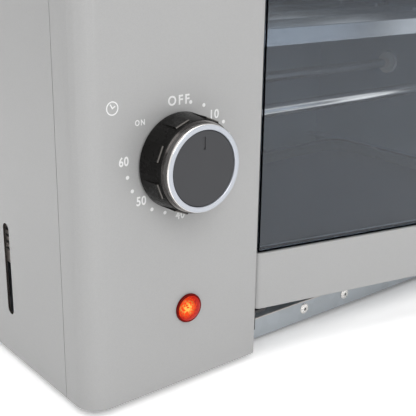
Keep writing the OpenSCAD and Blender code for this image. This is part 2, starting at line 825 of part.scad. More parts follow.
// Cut lens: a rim and a dome of flat facets
module lamp_lens() {
  color("orangered") translate([lamp_x, yf, lamp_z]) rotate([90, 0, 0]) union() {
    rotate_extrude()
      polygon([[0, 0], [lamp_r, 0], [lamp_r, 0.7], [lamp_r - 0.7, 1.4],
        [lamp_r - 1.2, 1.4], [0, 1.4]]);
    translate([0, 0, 1.4]) cylinder(r1 = lamp_r - 1.2, r2 = lamp_r - 2.4, h = 1, $fn = 12);
    translate([0, 0, 2.4]) cylinder(r1 = lamp_r - 2.4, r2 = 2, h = 1, $fn = 12);
  }
}

module lamp_body() {
  r = lamp_r - 1.2;
  color("white") union() {
    rod_y(lamp_x, 0, sheet + 16, lamp_z, r);
    difference() {
      rod_y(lamp_x, sheet, sheet + 1.6, lamp_z, r + 2.2);
      rod_y(lamp_x, sheet - 1, sheet + 3, lamp_z, r - 1);
    }
    for (s = [-1, 1])
      box(lamp_x + s * 2.6 - 1.4, lamp_x + s * 2.6 + 1.4, sheet + 16, sheet + 23,
        lamp_z - 0.3, lamp_z + 0.3);
  }
}

// ---- drive -----------------------------------------------------------------

// Involute of a circle: distance and angle at parameter t in degrees
function inv_r(rb, t) = rb * sqrt(1 + pow(t * PI / 180, 2));
function inv_a(t) = t - atan(t * PI / 180);
function inv_t(rb, r) = sqrt(max(0, pow(r / rb, 2) - 1)) * 180 / PI;

// Half angle of a tooth at radius r
function half_tooth(n, r) =
  let (rp = mod_m * n / 2, rb = rp * cos(20))
    90 / n - backlash / 2 / rp * 180 / PI + inv_a(inv_t(rb, rp))
      - inv_a(inv_t(rb, max(r, rb)));

// Points of one tooth, from the root over the tip to the next root
function tooth(n, i) =
  let (rp = mod_m * n / 2, rb = rp * cos(20), ro = rp + stub, rr = rp - 1.05 * mod_m,
    a = i * 360 / n, rs = [for (k = [0:4]) max(rb, rr) + (ro - max(rb, rr)) * k / 4])
    concat([[rr, a - half_tooth(n, rb)]],
      [for (k = [0:4]) [rs[k], a - half_tooth(n, rs[k])]],
      [for (k = [4:-1:0]) [rs[k], a + half_tooth(n, rs[k])]],
      [[rr, a + half_tooth(n, rb)]]);

module gear2d(n) {
  polar = [for (i = [0:n - 1]) for (p = tooth(n, i)) p];
  polygon([for (p = polar) [p[0] * cos(p[1]), p[0] * sin(p[1])]]);
}

// Gear on a spindle, turned so that it meshes with its neighbours
module gear_at(i) {
  v = skewer_v + i * pitch;
  color("ivory") difference() {
    union() {
      translate([gear_x0, yf + v, skewer_z]) rotate([90, 0, 90])
        linear_extrude(gear_w) rotate((i % 2) * 180 / gear_n) gear2d(gear_n);
      rod_x(gear_x0 - 1.5, gear_x0, v, skewer_z, spindle_r + 4);
    }
    rod_x(gear_x0 - 3, gear_x1 + 1, v, skewer_z, spindle_r);
    for (k = [0:3])
      translate([gear_x0 - 1, yf + v, skewer_z]) rotate([k * 90 + 45, 0, 0])
        translate([0, (gear_r + spindle_r) / 2 + 0.6, 0]) rotate([0, 90, 0])
          cylinder(r = gear_r * 0.19, h = gear_w + 2);
  }
}

module gear_1() { gear_at(0); }
module gear_2() { gear_at(1); }
module gear_3() { gear_at(2); }
module gear_4() { gear_at(3); }
module gear_5() { gear_at(4); }

// Spindle: a stub in the outer plate, a collar against the bush and a square socket
module spindle_at(i) {
  v = skewer_v + i * pitch;
  s = tang / 2 + 0.12;
  color("silver") difference() {
    union() {
      rod_x(plate_x0 - 1.4, plate_x1 + 0.4, v, skewer_z, stub_r);
      rod_x(plate_x1 + 0.4, hub_x0, v, skewer_z, spindle_r);
      rod_x(gear_x1, bush_x0 - 0.3, v, skewer_z, spindle_r + 2);
      rod_x(hub_x0, hub_x1, v, skewer_z, hub_r);
    }
    box(socket_x, hub_x1 + 1, v - s, v + s, skewer_z - s, skewer_z + s);
  }
}

module spindle_1() { spindle_at(0); }
module spindle_2() { spindle_at(1); }
module spindle_3() { spindle_at(2); }
module spindle_4() { spindle_at(3); }
module spindle_5() { spindle_at(4); }

module bushes() {
  color("goldenrod") for (v = skewer_at)
    difference() {
      union() {
        rod_x(bush_x0, bush_x1, v, skewer_z, bush_r);
        rod_x(bush_x0, wl0, v, skewer_z, bush_r + 2.5);
      }
      rod_x(bush_x0 - 1, bush_x1 + 1, v, skewer_z, spindle_r + run);
    }
}

post_at = [for (v = [skewer_v + pitch / 2, skewer_v + 3.5 * pitch])
  for (s = [-1, 1]) [v, skewer_z + s * (gear_r + 7)]];

module gear_plate() {
  v0 = skewer_v - 14;
  v1 = skewer_v + 4 * pitch + 14;
  color("lightsteelblue") difference() {
    along_x(plate_x0, plate_x1)
      round2d(v0, v1, pinion_z - 12, skewer_z + gear_r + 15, 8);
    for (v = skewer_at) rod_x(plate_x0 - 1, plate_x1 + 1, v, skewer_z, stub_r + run);
    rod_x(plate_x0 - 1, plate_x1 + 1, pinion_v, pinion_z, 7);
    for (p = post_at) rod_x(plate_x0 - 1, plate_x1 + 1, p[0], p[1], 2);
  }
}

// Spacer posts with their screws
module gear_posts() {
  color("silver") for (p = post_at) {
    rod_x(plate_x1, wl0, p[0], p[1], 4);
    rod_x(plate_x0, plate_x1, p[0], p[1], 2);
    rod_x(plate_x0 - 2, plate_x0, p[0], p[1], 3.6);
  }
}

// Geared motor: a flat gear case against the plate and a smaller motor can
module motor() {
  color("gray") difference() {
    union() {
      rod_x(plate_x0 - motor_case, plate_x0, pinion_v, pinion_z, motor_r);
      rod_x(plate_x0 - motor_case - motor_can, plate_x0 - motor_case, pinion_v, pinion_z,
        motor_r * 0.78);
      along_x(plate_x0 - 1.6, plate_x0)
        round2d(pinion_v - motor_r - 9, pinion_v + motor_r + 9, pinion_z - 6,
          pinion_z + 6, 5);
    }
    rod_x(plate_x0 - 6, plate_x0 + 1, pinion_v, pinion_z, 3 + run);
    for (s = [-1, 1])
      rod_x(plate_x0 - 3, plate_x0 + 1, pinion_v + s * (motor_r + 4.4), pinion_z, 1.7);
  }
}

module pinion() {
  color("ivory") union() {
    translate([gear_x0, yf + pinion_v, pinion_z]) rotate([90, 0, 90])
      linear_extrude(gear_w) rotate(180 / pinion_n) gear2d(pinion_n);
    rod_x(plate_x1 + 0.6, gear_x0, pinion_v, pinion_z, 6);
    rod_x(plate_x0 - 5.6, plate_x1 + 0.6, pinion_v, pinion_z, 3);
  }
}

// ---- skewers and heating ---------------------------------------------------

// Flat blade between a square tang and a round neck that ends in a point
module skewer_at_line(i) {
  v = skewer_v + i * pitch;
  x0 = hub_x1 - tang_len;
  b0 = hub_x1 + 4;
  b1 = rest_x - pull - 1;
  w = blade_w / 2;
  color("silver") union() {
    box(x0, hub_x1 + 0.6, v - tang / 2, v + tang / 2, skewer_z - tang / 2,
      skewer_z + tang / 2);
    rod_x(hub_x1 + 0.6, b0, v, skewer_z, tang / 2 + 1.8);
    translate([0, yf + v + blade_t / 2, skewer_z]) rotate([90, 0, 0])
      linear_extrude(blade_t)
        polygon([[b0, -w * 0.6], [b0 + 6, -w], [b1 - 12, -w], [b1, -neck_r * 0.8],
          [b1, neck_r * 0.8], [b1 - 12, w], [b0 + 6, w], [b0, w * 0.6]]);
    rod_x(b1, rest_x + 6, v, skewer_z, neck_r);
    translate([rest_x + 6, yf + v, skewer_z]) rotate([0, 90, 0])
      cylinder(r1 = neck_r, r2 = 0.5, h = 6, $fn = 32);
  }
}

module skewer_1() { skewer_at_line(0); }
module skewer_2() { skewer_at_line(1); }
module skewer_3() { skewer_at_line(2); }
module skewer_4() { skewer_at_line(3); }
module skewer_5() { skewer_at_line(4); }

module heater(v) {
  color("lightgray") union() {
    rod_x(wl0 - 8, wr1 + 8, v, tube_z, tube_r);
    rod_x(wl0 - 13, wl0 - 8, v, tube_z, 1.5);
    rod_x(wr1 + 8, wr1 + 13, v, tube_z, 1.5);
  }
}

module heater_front() { heater(tube_v1); }
module heater_rear() { heater(tube_v2); }

// Ceramic sleeves that carry the tubes in the chamber walls
module insulators() {
  color("white") for (v = tube_at) {
    difference() {
      union() {
        rod_x(wl0 - 5, wl1 + 4, v, tube_z, ins_r);
        rod_x(wl1, wl1 + 4, v, tube_z, ins_r + 2.4);
      }
      rod_x(wl0 - 6, wl1 + 5, v, tube_z, tube_r);
    }
    difference() {
      union() {
        rod_x(wr0 - 4, wr1 + 5, v, tube_z, ins_r);
        rod_x(wr0 - 4, wr0, v, tube_z, ins_r + 2.4);
      }
      rod_x(wr0 - 5, wr1 + 6, v, tube_z, tube_r);
    }
  }
}

gland_x = xl + 36;
gland_z = 40;
gland_r = gland_bore + 3;

// Cord gland with a nut inside and a slim collar outside
module cord_gland() {
  color("dimgray") translate([gland_x, yf + body_d, gland_z]) rotate([-90, 0, 0])
    difference() {
      union() {
        translate([0, 0, -6]) cylinder(r = gland_r, h = 6 + 2.4);
        cylinder(r = gland_r + 2.6, h = 2.4);
        translate([0, 0, -sheet - 4]) cylinder(r = gland_r + 2.8, h = 4, $fn = 6);
        translate([0, 0, 2.4]) cylinder(r1 = gland_r + 1.2, r2 = gland_r - 0.6,
          h = gland_out - 2.4);
      }
      translate([0, 0, -7]) cylinder(r = gland_bore, h = gland_out + 8);
    }
}

front_frame();
cabinet_wrap();
back_panel();
back_screws();
base_pan();
front_stiffener();
pan_rivets();
feet();
foot_screws();
liner_left();
liner_right();
vent_guard();
liner_shell();
rest_comb();
tray_rails();
drip_tray();
door_rail_bottom();
door_rail_top();
door_stile();
door_glass();
door_seal();
handle_bar();
handle_posts();
hinge_brackets();
hinge_pins();
catch_magnet();
catch_striker();
knob_body();
knob_ring();
knob_cap();
timer_shaft();
timer_case();
lamp_lens();
lamp_body();
gear_plate();
gear_posts();
motor();
pinion();
bushes();
spindle_1();
spindle_2();
spindle_3();
spindle_4();
spindle_5();
gear_1();
gear_2();
gear_3();
gear_4();
gear_5();
skewer_1();
skewer_2();
skewer_3();
skewer_4();
skewer_5();
heater_front();
heater_rear();
insulators();
cord_gland();
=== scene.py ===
"""Looks of a table-top electric skewer grill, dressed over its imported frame.

The cabinet is grey flake enamel with a soft sheen, the base pan is zinc-coated sheet, the
door is grey tinted glass between enamelled rails, and the timer knob is glossy black with a
pale silver ring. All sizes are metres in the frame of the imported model.
"""

import json
import logging
import math
from dataclasses import dataclass
from enum import Enum
from typing import Callable, Iterable, Optional, Sequence

import bmesh
import bpy
from mathutils import Matrix, Vector


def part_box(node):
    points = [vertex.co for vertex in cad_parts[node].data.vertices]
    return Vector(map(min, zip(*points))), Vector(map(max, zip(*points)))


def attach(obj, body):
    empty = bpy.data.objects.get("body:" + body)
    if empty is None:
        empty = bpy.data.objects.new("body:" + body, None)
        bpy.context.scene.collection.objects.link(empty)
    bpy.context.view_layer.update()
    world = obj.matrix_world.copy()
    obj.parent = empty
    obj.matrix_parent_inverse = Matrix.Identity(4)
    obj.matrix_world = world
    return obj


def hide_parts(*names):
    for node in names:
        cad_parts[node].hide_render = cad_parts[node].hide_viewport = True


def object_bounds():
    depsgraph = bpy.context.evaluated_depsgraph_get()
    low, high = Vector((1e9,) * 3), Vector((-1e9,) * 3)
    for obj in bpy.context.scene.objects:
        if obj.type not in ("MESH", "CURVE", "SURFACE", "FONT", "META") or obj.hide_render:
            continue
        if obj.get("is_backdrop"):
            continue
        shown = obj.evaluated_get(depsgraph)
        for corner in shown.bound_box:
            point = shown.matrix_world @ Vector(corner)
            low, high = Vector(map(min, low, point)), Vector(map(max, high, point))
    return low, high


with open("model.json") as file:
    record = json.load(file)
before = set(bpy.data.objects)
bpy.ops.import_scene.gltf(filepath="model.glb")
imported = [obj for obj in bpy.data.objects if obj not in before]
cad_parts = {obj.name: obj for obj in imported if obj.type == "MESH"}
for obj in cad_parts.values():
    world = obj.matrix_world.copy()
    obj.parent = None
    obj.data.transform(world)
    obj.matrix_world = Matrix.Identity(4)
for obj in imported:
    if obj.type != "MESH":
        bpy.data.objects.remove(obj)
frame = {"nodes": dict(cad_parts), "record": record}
CAD_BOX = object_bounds()

log = logging.getLogger("skewer_grill")
Node, Tree, Socket = bpy.types.Node, bpy.types.NodeTree, bpy.types.NodeSocket
Piece, Mesh, Material = bpy.types.Object, bpy.types.Mesh, bpy.types.Material
Pair = tuple[float, float]
Triple = tuple[float, float, float]
Surface = tuple[Socket, Socket, Socket]
MM = 0.001
TOUCHING = 1e-7  # metres: drawn corners this close are one
JOINED = 1e-6  # metres: packed corners this close are one
FLAT = 0.5  # degrees: faces that meet at less than this are one
WHITE = (1.0, 1.0, 1.0, 1.0)


class Body(str, Enum):
    """The bodies that new pieces ride on."""

    CABINET = "cabinet"
    DOOR = "door"
    KNOB = "timer_knob"


class Slot(str, Enum):
    """The record's material slots."""

    ENAMEL = "grey_paint"
    ZINC = "galvanised"
    LINER = "liner_steel"
    TRAY = "tray_steel"
    DARK = "dark_steel"
    SCREW = "screw_steel"
    RIVET = "rivet_metal"
    FOOT = "foot_rubber"
    GLASS = "door_glass"
    SEAL = "black_seal"
    HANDLE = "handle_metal"
    KNOB = "knob_black"
    RING = "ring_silver"
    CAP = "cap_grey"
    PRINT = "ivory_plastic"
    LENS = "lamp_red"
    MOTOR = "motor_metal"
    BUSH = "bush_brass"
    TUBE = "tube_steel"
    CERAMIC = "white_ceramic"
    SKEWER = "skewer_steel"


class Grain(Enum):
    """Which way a rolled or brushed surface is drawn out, as stretch factors per axis."""

    ALONG_X = (0.02, 1.0, 1.0)
    ALONG_Y = (1.0, 0.02, 1.0)
    ALONG_Z = (1.0, 1.0, 0.02)
    EVEN = (1.0, 1.0, 1.0)


# --------------------------------------------------------------------------- shader kit


class ShaderGraph:
    """A thin helper that adds nodes to a material or to a group and links them."""

    def __init__(self, tree: Tree) -> None:
        """Keep the tree that nodes are added to."""
        self.tree = tree

    def add(self, kind: str, **values: object) -> Node:
        """Add a node and set its properties and inputs.

        Args:
            kind: Blender's node type.
            **values: properties by name, or inputs by name with blanks as underscores; a
                socket as the value is linked.

        Returns:
            The new node.
        """
        node = self.tree.nodes.new(kind)
        for key, value in values.items():
            if key.startswith("p_"):
                setattr(node, key[2:], value)
                continue
            slot = node.inputs[int(key[1:])] if key[1:].isdigit() else node.inputs[key.replace("_", " ")]
            self.feed(value, slot)
        return node

    def feed(self, value: object, slot: Socket) -> None:
        """Link a socket to an input, or set the input to a plain value.

        Args:
            value: a socket, or a plain value.
            slot: the input.
        """
        if isinstance(value, Socket):
            self.tree.links.new(value, slot)
        else:
            slot.default_value = value

    def math(self, operation: str, a: object, b: object = 0.0) -> Socket:
        """Return the result socket of a Math node."""
        return self.add("ShaderNodeMath", p_operation=operation, i0=a, i1=b).outputs[0]

    def mix(self, factor: object, a: object, b: object) -> Socket:
        """Mix two colours.

        Args:
            factor: how much of the second colour shows, from 0 to 1.
            a: the first colour.
            b: the second colour.

        Returns:
            The colour socket of a Mix node.
        """
        node = self.add("ShaderNodeMix", p_data_type="RGBA")
        for slot, value in ((0, factor), (6, a), (7, b)):
            self.feed(value, node.inputs[slot])
        return node.outputs[2]

    def noise(self, vector: Socket, scale: object, detail: float, roughness: float = 0.5) -> Socket:
        """Return the value socket of a Noise node."""
        return self.add("ShaderNodeTexNoise", Vector=vector, Scale=scale, Detail=detail,
                        Roughness=roughness).outputs[0]

    def swing(self, value: Socket) -> Socket:
        """Return a noise value moved so that its middle is 0."""
        return self.math("SUBTRACT", value, 0.5)

    def sum_of(self, *parts: tuple[Socket, float]) -> Socket:
        """Return the sum of two sockets, each times its weight."""
        return self.math("ADD", *(self.math("MULTIPLY", value, weight) for value, weight in parts))

    def off_axis(self, vector: Socket, centre: Triple) -> Socket:
        """Measure a point's distance from the line that runs front to back through a centre.

        Args:
            vector: the point.
            centre: a point on the line.

        Returns:
            The distance.
        """
        moved = self.add("ShaderNodeVectorMath", p_operation="SUBTRACT", i0=vector, i1=centre)
        parts = self.add("ShaderNodeSeparateXYZ", Vector=moved.outputs[0])
        squares = [self.math("POWER", parts.outputs[axis], 2.0) for axis in ("X", "Z")]
        return self.math("SQRT", self.math("ADD", *squares))

    def ramp(self, factor: Socket, stops: Sequence[Pair]) -> Socket:
        """Return a grey colour ramp of the factor.

        Args:
            factor: the socket that drives the ramp.
            stops: pairs of position and grey value, in order.

        Returns:
            The ramp's colour socket.
        """
        node = self.add("ShaderNodeValToRGB", Fac=factor)
        elements = node.color_ramp.elements
        while len(elements) < len(stops):
            elements.new(0.5)
        for element, (place, grey) in zip(elements, stops):
            element.position = place
            element.color = (grey, grey, grey, 1.0)
        return node.outputs["Color"]


def opened(owner: object) -> ShaderGraph:
    """Give a material or a world an empty node tree.

    Args:
        owner: the material or the world.

    Returns:
        The tree's graph.
    """
    owner.use_nodes = True
    owner.node_tree.nodes.clear()
    return ShaderGraph(owner.node_tree)


class Effects:
    """Shader groups that several finishes share, each built once.

    Every group takes Vector, Scale, Amount and Base Roughness, and puts out Shade, Roughness
    and Height. The last four methods each fill one group.
    """

    @staticmethod
    def group(name: str, fill: Callable[[ShaderGraph, bpy.types.NodeOutputs], Surface],
              stretched: bool = False) -> Tree:
        """Return the group of a name, and build it on its first use.

        Args:
            name: the group's name.
            fill: adds the nodes between the group's input and its output.
            stretched: whether the group also takes Stretch, a factor for each axis.

        Returns:
            The node group.
        """
        known = bpy.data.node_groups.get(name)
        if known is not None:
            return known
        tree = bpy.data.node_groups.new(name, "ShaderNodeTree")
        for label in ("Vector", "Stretch") if stretched else ("Vector",):
            tree.interface.new_socket(name=label, in_out="INPUT", socket_type="NodeSocketVector")
        for label in ("Scale", "Amount", "Base Roughness"):
            tree.interface.new_socket(name=label, in_out="INPUT", socket_type="NodeSocketFloat")
        for label in ("Shade", "Roughness", "Height"):
            tree.interface.new_socket(name=label, in_out="OUTPUT", socket_type="NodeSocketFloat")
        graph = ShaderGraph(tree)
        filled = fill(graph, graph.add("NodeGroupInput").outputs)
        graph.add("NodeGroupOutput", **{f"i{place}": socket for place, socket in enumerate(filled)})
        return tree

    @staticmethod
    def shade(g: ShaderGraph, given: bpy.types.NodeOutputs, tone: Socket) -> Socket:
        """Return 1 plus the Amount of a tone."""
        return g.math("ADD", 1.0, g.math("MULTIPLY", tone, given["Amount"]))

    @staticmethod
    def flake(g: ShaderGraph, given: bpy.types.NodeOutputs) -> Surface:
        """Fine metal flakes under enamel, with the faint peel of a sprayed coat.

        Args:
            g: the group's graph.
            given: the group's inputs.

        Returns:
            Shade, roughness and height.
        """
        peel_scale, cloud_scale, cloud_depth, rough_swing = 420.0, 9.0, 0.05, 0.12
        flakes = g.add("ShaderNodeTexVoronoi", Vector=given["Vector"], Scale=given["Scale"])
        spark = g.ramp(flakes.outputs["Color"], ((0.0, 0.0), (1.0, 1.0)))
        peel = g.noise(given["Vector"], peel_scale, 2.0)
        cloud = g.noise(given["Vector"], cloud_scale, 4.0, 0.55)
        low = g.math("SUBTRACT", 1.0, given["Amount"])
        shade = g.math("ADD", low, g.math("MULTIPLY", spark, g.math("MULTIPLY", given["Amount"], 2.0)))
        cloudy = g.math("ADD", 1.0 - cloud_depth / 2, g.math("MULTIPLY", cloud, cloud_depth))
        rough = g.math("ADD", given["Base Roughness"], g.math("MULTIPLY", g.swing(cloud), rough_swing))
        return g.math("MULTIPLY", shade, cloudy), rough, g.sum_of((peel, 0.8), (spark, 0.2))

    @staticmethod
    def grain(g: ShaderGraph, given: bpy.types.NodeOutputs) -> Surface:
        """Drawn-out lines of rolled or brushed metal with cloudy handling marks.

        Args:
            g: the group's graph.
            given: the group's inputs.

        Returns:
            Shade, roughness and height.
        """
        mark_scale = 24.0
        drawn = g.add("ShaderNodeVectorMath", p_operation="MULTIPLY", i0=given["Vector"],
                      i1=given["Stretch"]).outputs[0]
        lines = g.noise(drawn, given["Scale"], 5.0, 0.7)
        line, mark = g.swing(lines), g.swing(g.noise(given["Vector"], mark_scale, 5.0, 0.6))
        rough = g.math("ADD", given["Base Roughness"], g.sum_of((line, 0.18), (mark, 0.22)))
        return Effects.shade(g, given, g.sum_of((line, 0.9), (mark, 0.6))), rough, lines

    @staticmethod
    def spangle(g: ShaderGraph, given: bpy.types.NodeOutputs) -> Surface:
        """Crystal patches of a hot-dipped zinc coat, with their fine feathering.

        Args:
            g: the group's graph.
            given: the group's inputs.

        Returns:
            Shade, roughness and height.
        """
        warp_scale, warp_reach, fine_scale, rough_swing = 160.0, 4.0 * MM, 700.0, 0.25
        warp = g.add("ShaderNodeTexNoise", Vector=given["Vector"], Scale=warp_scale, Detail=3.0)
        bent = g.add("ShaderNodeVectorMath", p_operation="MULTIPLY_ADD", i0=warp.outputs["Color"],
                     i1=(warp_reach,) * 3, i2=given["Vector"])
        cells = g.add("ShaderNodeTexVoronoi", Vector=bent.outputs[0], Scale=given["Scale"])
        cell = g.ramp(cells.outputs["Color"], ((0.0, 0.0), (1.0, 1.0)))
        fine = g.noise(given["Vector"], fine_scale, 4.0, 0.7)
        tone = g.sum_of((g.swing(cell), 0.7), (g.swing(fine), 0.5))
        rough = g.math("ADD", given["Base Roughness"], g.math("MULTIPLY", tone, rough_swing))
        return Effects.shade(g, given, tone), rough, g.math("ADD", g.math("MULTIPLY", cell, 0.5), fine)

    @staticmethod
    def moulding(g: ShaderGraph, given: bpy.types.NodeOutputs) -> Surface:
        """Faint flow and a fine eroded skin, as on moulded plastic or rubber.

        Args:
            g: the group's graph.
            given: the group's inputs.

        Returns:
            Shade, roughness and height.
        """
        flow_scale, twist, rough_swing = 45.0, 1.2, 0.12
        skin = g.noise(given["Vector"], given["Scale"], 3.0, 0.6)
        flow = g.add("ShaderNodeTexNoise", Vector=given["Vector"], Scale=flow_scale, Detail=3.0,
                     Distortion=twist)
        mark = g.swing(flow.outputs[0])
        uneven = g.math("MULTIPLY", g.math("ADD", mark, g.swing(skin)), rough_swing)
        return Effects.shade(g, given, mark), g.math("ADD", given["Base Roughness"], uneven), skin


@dataclass(frozen=True)
class Finish:
    """A plain finish: a base colour and how it answers light."""

    name: str
    colour: Triple
    metallic: float = 0.0
    roughness: float = 0.4
    specular: float = 0.5
    coat: float = 0.0
    coat_roughness: float = 0.1
    bump: float = 0.02
    amount: float = 0.1
    scale: float = 1500.0
    preview_alpha: float = 1.0

    def effect(self) -> Tree:
        """Return the shared group that gives this finish its surface."""
        return Effects.group("Moulded Skin", Effects.moulding)

    def values(self) -> dict[str, object]:
        """Return the values of the group's inputs."""
        return {"Scale": self.scale, "Amount": self.amount, "Base_Roughness": self.roughness}

    def answer(self) -> dict[str, object]:
        """Return the values set straight on the shader."""
        return {"Metallic": self.metallic, "Specular_IOR_Level": self.specular, "Coat_Weight": self.coat,
                "Coat_Roughness": self.coat_roughness}

    def extra(self, graph: ShaderGraph, bsdf: Node, vector: Socket) -> None:
        """Set what only this kind of finish has."""

    def material(self) -> Material:
        """Build the material, or return it if it is there already.

        Returns:
            The procedural material.
        """
        known = bpy.data.materials.get(self.name)
        if known is not None:
            return known
        made = bpy.data.materials.new(self.name)
        graph = opened(made)
        bsdf = graph.add("ShaderNodeBsdfPrincipled", **self.answer())
        graph.add("ShaderNodeOutputMaterial", Surface=bsdf.outputs["BSDF"])
        vector = graph.add("ShaderNodeTexCoord").outputs["Object"]
        group = graph.add("ShaderNodeGroup", p_node_tree=self.effect(), Vector=vector, **self.values())
        shade, rough, height = group.outputs
        tint = graph.add("ShaderNodeVectorMath", p_operation="SCALE", i0=self.colour, Scale=shade)
        bump = graph.add("ShaderNodeBump", Strength=1.0, Distance=self.bump * MM, Height=height)
        graph.feed(tint.outputs[0], bsdf.inputs["Base Color"])
        graph.feed(rough, bsdf.inputs["Roughness"])
        graph.feed(bump.outputs["Normal"], bsdf.inputs["Normal"])
        self.extra(graph, bsdf, vector)
        made.diffuse_color = (*self.colour, self.preview_alpha)
        return made


@dataclass(frozen=True)
class Enamel(Finish):
    """Sprayed metallic enamel with a thin clear coat."""

    def effect(self) -> Tree:
        """Return the flake group."""
        return Effects.group("Flake and Peel", Effects.flake)


@dataclass(frozen=True)
class RolledMetal(Finish):
    """Rolled, drawn or brushed metal."""

    grain: Grain = Grain.EVEN

    def effect(self) -> Tree:
        """Return the grain group."""
        return Effects.group("Drawn Grain", Effects.grain, stretched=True)

    def values(self) -> dict[str, object]:
        """Return the values of the group's inputs, with the way the grain is drawn out."""
        return {**super().values(), "Stretch": self.grain.value}


@dataclass(frozen=True)
class ZincSheet(Finish):
    """Zinc-coated sheet with its crystal pattern."""

    def effect(self) -> Tree:
        """Return the spangle group."""
        return Effects.group("Zinc Spangle", Effects.spangle)


@dataclass(frozen=True)
class TurnedFace(Finish):
    """A disc that was finished on a lathe: fine rings round the knob's axis."""

    centre: Triple = (0.0, 0.0, 0.0)
    anisotropic: float = 0.6
    ring_scale: float = 5200.0
    ring_depth: float = 0.004 * MM

    def extra(self, graph: ShaderGraph, bsdf: Node, vector: Socket) -> None:
        """Add the turned rings to the height and draw the highlight out across them.

        Args:
            graph: the material's graph.
            bsdf: its shader.
            vector: the place on the piece.
        """
        flat = graph.add("ShaderNodeCombineXYZ", X=graph.off_axis(vector, self.centre))
        bump = graph.add("ShaderNodeBump", Strength=1.0, Distance=self.ring_depth,
                         Height=graph.noise(flat.outputs[0], self.ring_scale, 2.0, 0.6),
                         Normal=bsdf.inputs["Normal"].links[0].from_socket)
        graph.feed(bump.outputs["Normal"], bsdf.inputs["Normal"])
        bsdf.inputs["Anisotropic"].default_value = self.anisotropic


@dataclass(frozen=True)
class SheetGlass(Finish):
    """Grey tinted oven glass, evenly smooth."""

    ior: float = 1.37
    clear: float = 0.95

    def answer(self) -> dict[str, object]:
        """Return the values set straight on the shader."""
        return {"Metallic": 0.0, "IOR": self.ior, "Transmission_Weight": self.clear}

    def extra(self, graph: ShaderGraph, bsdf: Node, vector: Socket) -> None:
        """Keep the roughness even.

        Args:
            graph: the material's graph.
            bsdf: its shader.
            vector: the place on the piece; not used.
        """
        smooth = bsdf.inputs["Roughness"]
        graph.tree.links.remove(smooth.links[0])
        smooth.default_value = self.roughness


@dataclass(frozen=True)
class JewelLens(Finish):
    """A lit lens: brightest in one spot, with facets that differ in tone."""

    centre: Triple = (0.0, 0.0, 0.0)
    radius: float = 7.2 * MM
    glow: Triple = (1.0, 0.075, 0.008)
    spark: Triple = (1.0, 0.60, 0.11)
    deep: Triple = (0.42, 0.010, 0.004)
    warm_from: float = 0.38
    warm_to: float = 0.66
    dark_from: float = 0.50
    dark_to: float = 1.0
    facet_warmth: float = 0.25
    facet_shade: float = 0.35
    strength: float = 0.95

    def extra(self, graph: ShaderGraph, bsdf: Node, vector: Socket) -> None:
        """Add the glow, which fades towards the rim and jumps from facet to facet.

        Args:
            graph: the material's graph.
            bsdf: its shader.
            vector: the place on the piece.
        """
        fade = graph.math("DIVIDE", graph.off_axis(vector, self.centre), self.radius)
        facet = graph.add("ShaderNodeAttribute", p_attribute_name="facet").outputs["Fac"]
        warm = graph.ramp(graph.math("SUBTRACT", graph.math("ADD", facet, self.facet_warmth), fade),
                          ((self.warm_from, 0.0), (self.warm_to, 1.0)))
        dark = graph.ramp(graph.math("ADD", fade, graph.math("MULTIPLY", facet, self.facet_shade)),
                          ((self.dark_from, 0.0), (self.dark_to, 1.0)))
        lit = graph.mix(warm, (*self.glow, 1.0), (*self.spark, 1.0))
        graph.feed(graph.mix(dark, lit, (*self.deep, 1.0)), bsdf.inputs["Emission Color"])
        bsdf.inputs["Emission Strength"].default_value = self.strength


ENAMEL = Enamel("flake enamel", (0.47, 0.47, 0.468), roughness=0.36, coat=0.12, coat_roughness=0.25,
                bump=0.006, amount=0.035, scale=3000.0)
ZINC = ZincSheet("zinc sheet", (0.44, 0.475, 0.505), metallic=0.45, roughness=0.42, bump=0.01,
                 amount=0.22, scale=130.0)
# Painted highlight: the pale line along the skirt's upper bend stands for light caught on the fold.
BEND_HIGHLIGHT = RolledMetal("painted bend highlight", (0.66, 0.60, 0.55), metallic=0.1, roughness=0.35, bump=0.003, amount=0.1,
                  scale=900.0)
LINER = RolledMetal("rolled liner", (0.34, 0.38, 0.43), metallic=0.5, roughness=0.5, bump=0.004,
                    amount=0.12, scale=900.0, grain=Grain.ALONG_Y)
TRAY = Enamel("tray enamel", (0.03, 0.03, 0.033), roughness=0.3, coat=0.5, coat_roughness=0.12, bump=0.01,
              amount=0.15, scale=1500.0)
DARK = Finish("black enamel", (0.012, 0.012, 0.013), roughness=0.45, bump=0.006)
SCREW = RolledMetal("bright zinc", (0.62, 0.62, 0.60), metallic=1.0, roughness=0.3, bump=0.003,
                    amount=0.2, scale=1200.0)
RIVET = RolledMetal("drawn rivet", (0.86, 0.84, 0.81), metallic=0.6, roughness=0.28, bump=0.004,
                    amount=0.25, scale=1800.0)
RUBBER = Finish("foot rubber", (0.015, 0.015, 0.015), roughness=0.75, bump=0.03, amount=0.3)
GLASS = SheetGlass("tinted glass", (0.55, 0.61, 0.69), roughness=0.035, bump=0.0002, scale=60.0,
                   preview_alpha=0.4)
SEAL = Finish("black seal", (0.003, 0.003, 0.004), roughness=0.8, specular=0.0, bump=0.01, amount=0.2)
HANDLE = RolledMetal("satin bar", (0.55, 0.55, 0.56), metallic=0.9, roughness=0.3, bump=0.004,
                     amount=0.12, scale=1400.0, grain=Grain.ALONG_Z)
KNOB_BLACK = Finish("gloss black", (0.008, 0.0075, 0.007), roughness=0.28, specular=0.10, bump=0.004,
                    amount=0.3, scale=700.0)
KNOB_COLLAR = RolledMetal("smoked collar", (0.19, 0.182, 0.178), metallic=1.0, roughness=0.16,
                          bump=0.0003, amount=0.05, scale=900.0)
RING = RolledMetal("pale silver", (0.52, 0.545, 0.595), metallic=0.5, roughness=0.34, bump=0.0002,
                   amount=0.03, scale=900.0)
CHROME = RolledMetal("bright edge", (0.80, 0.78, 0.76), metallic=1.0, roughness=0.09, bump=0.0005,
                     amount=0.05, scale=900.0)
IVORY = Finish("ivory moulding", (0.62, 0.60, 0.52), roughness=0.45, bump=0.01, amount=0.12)
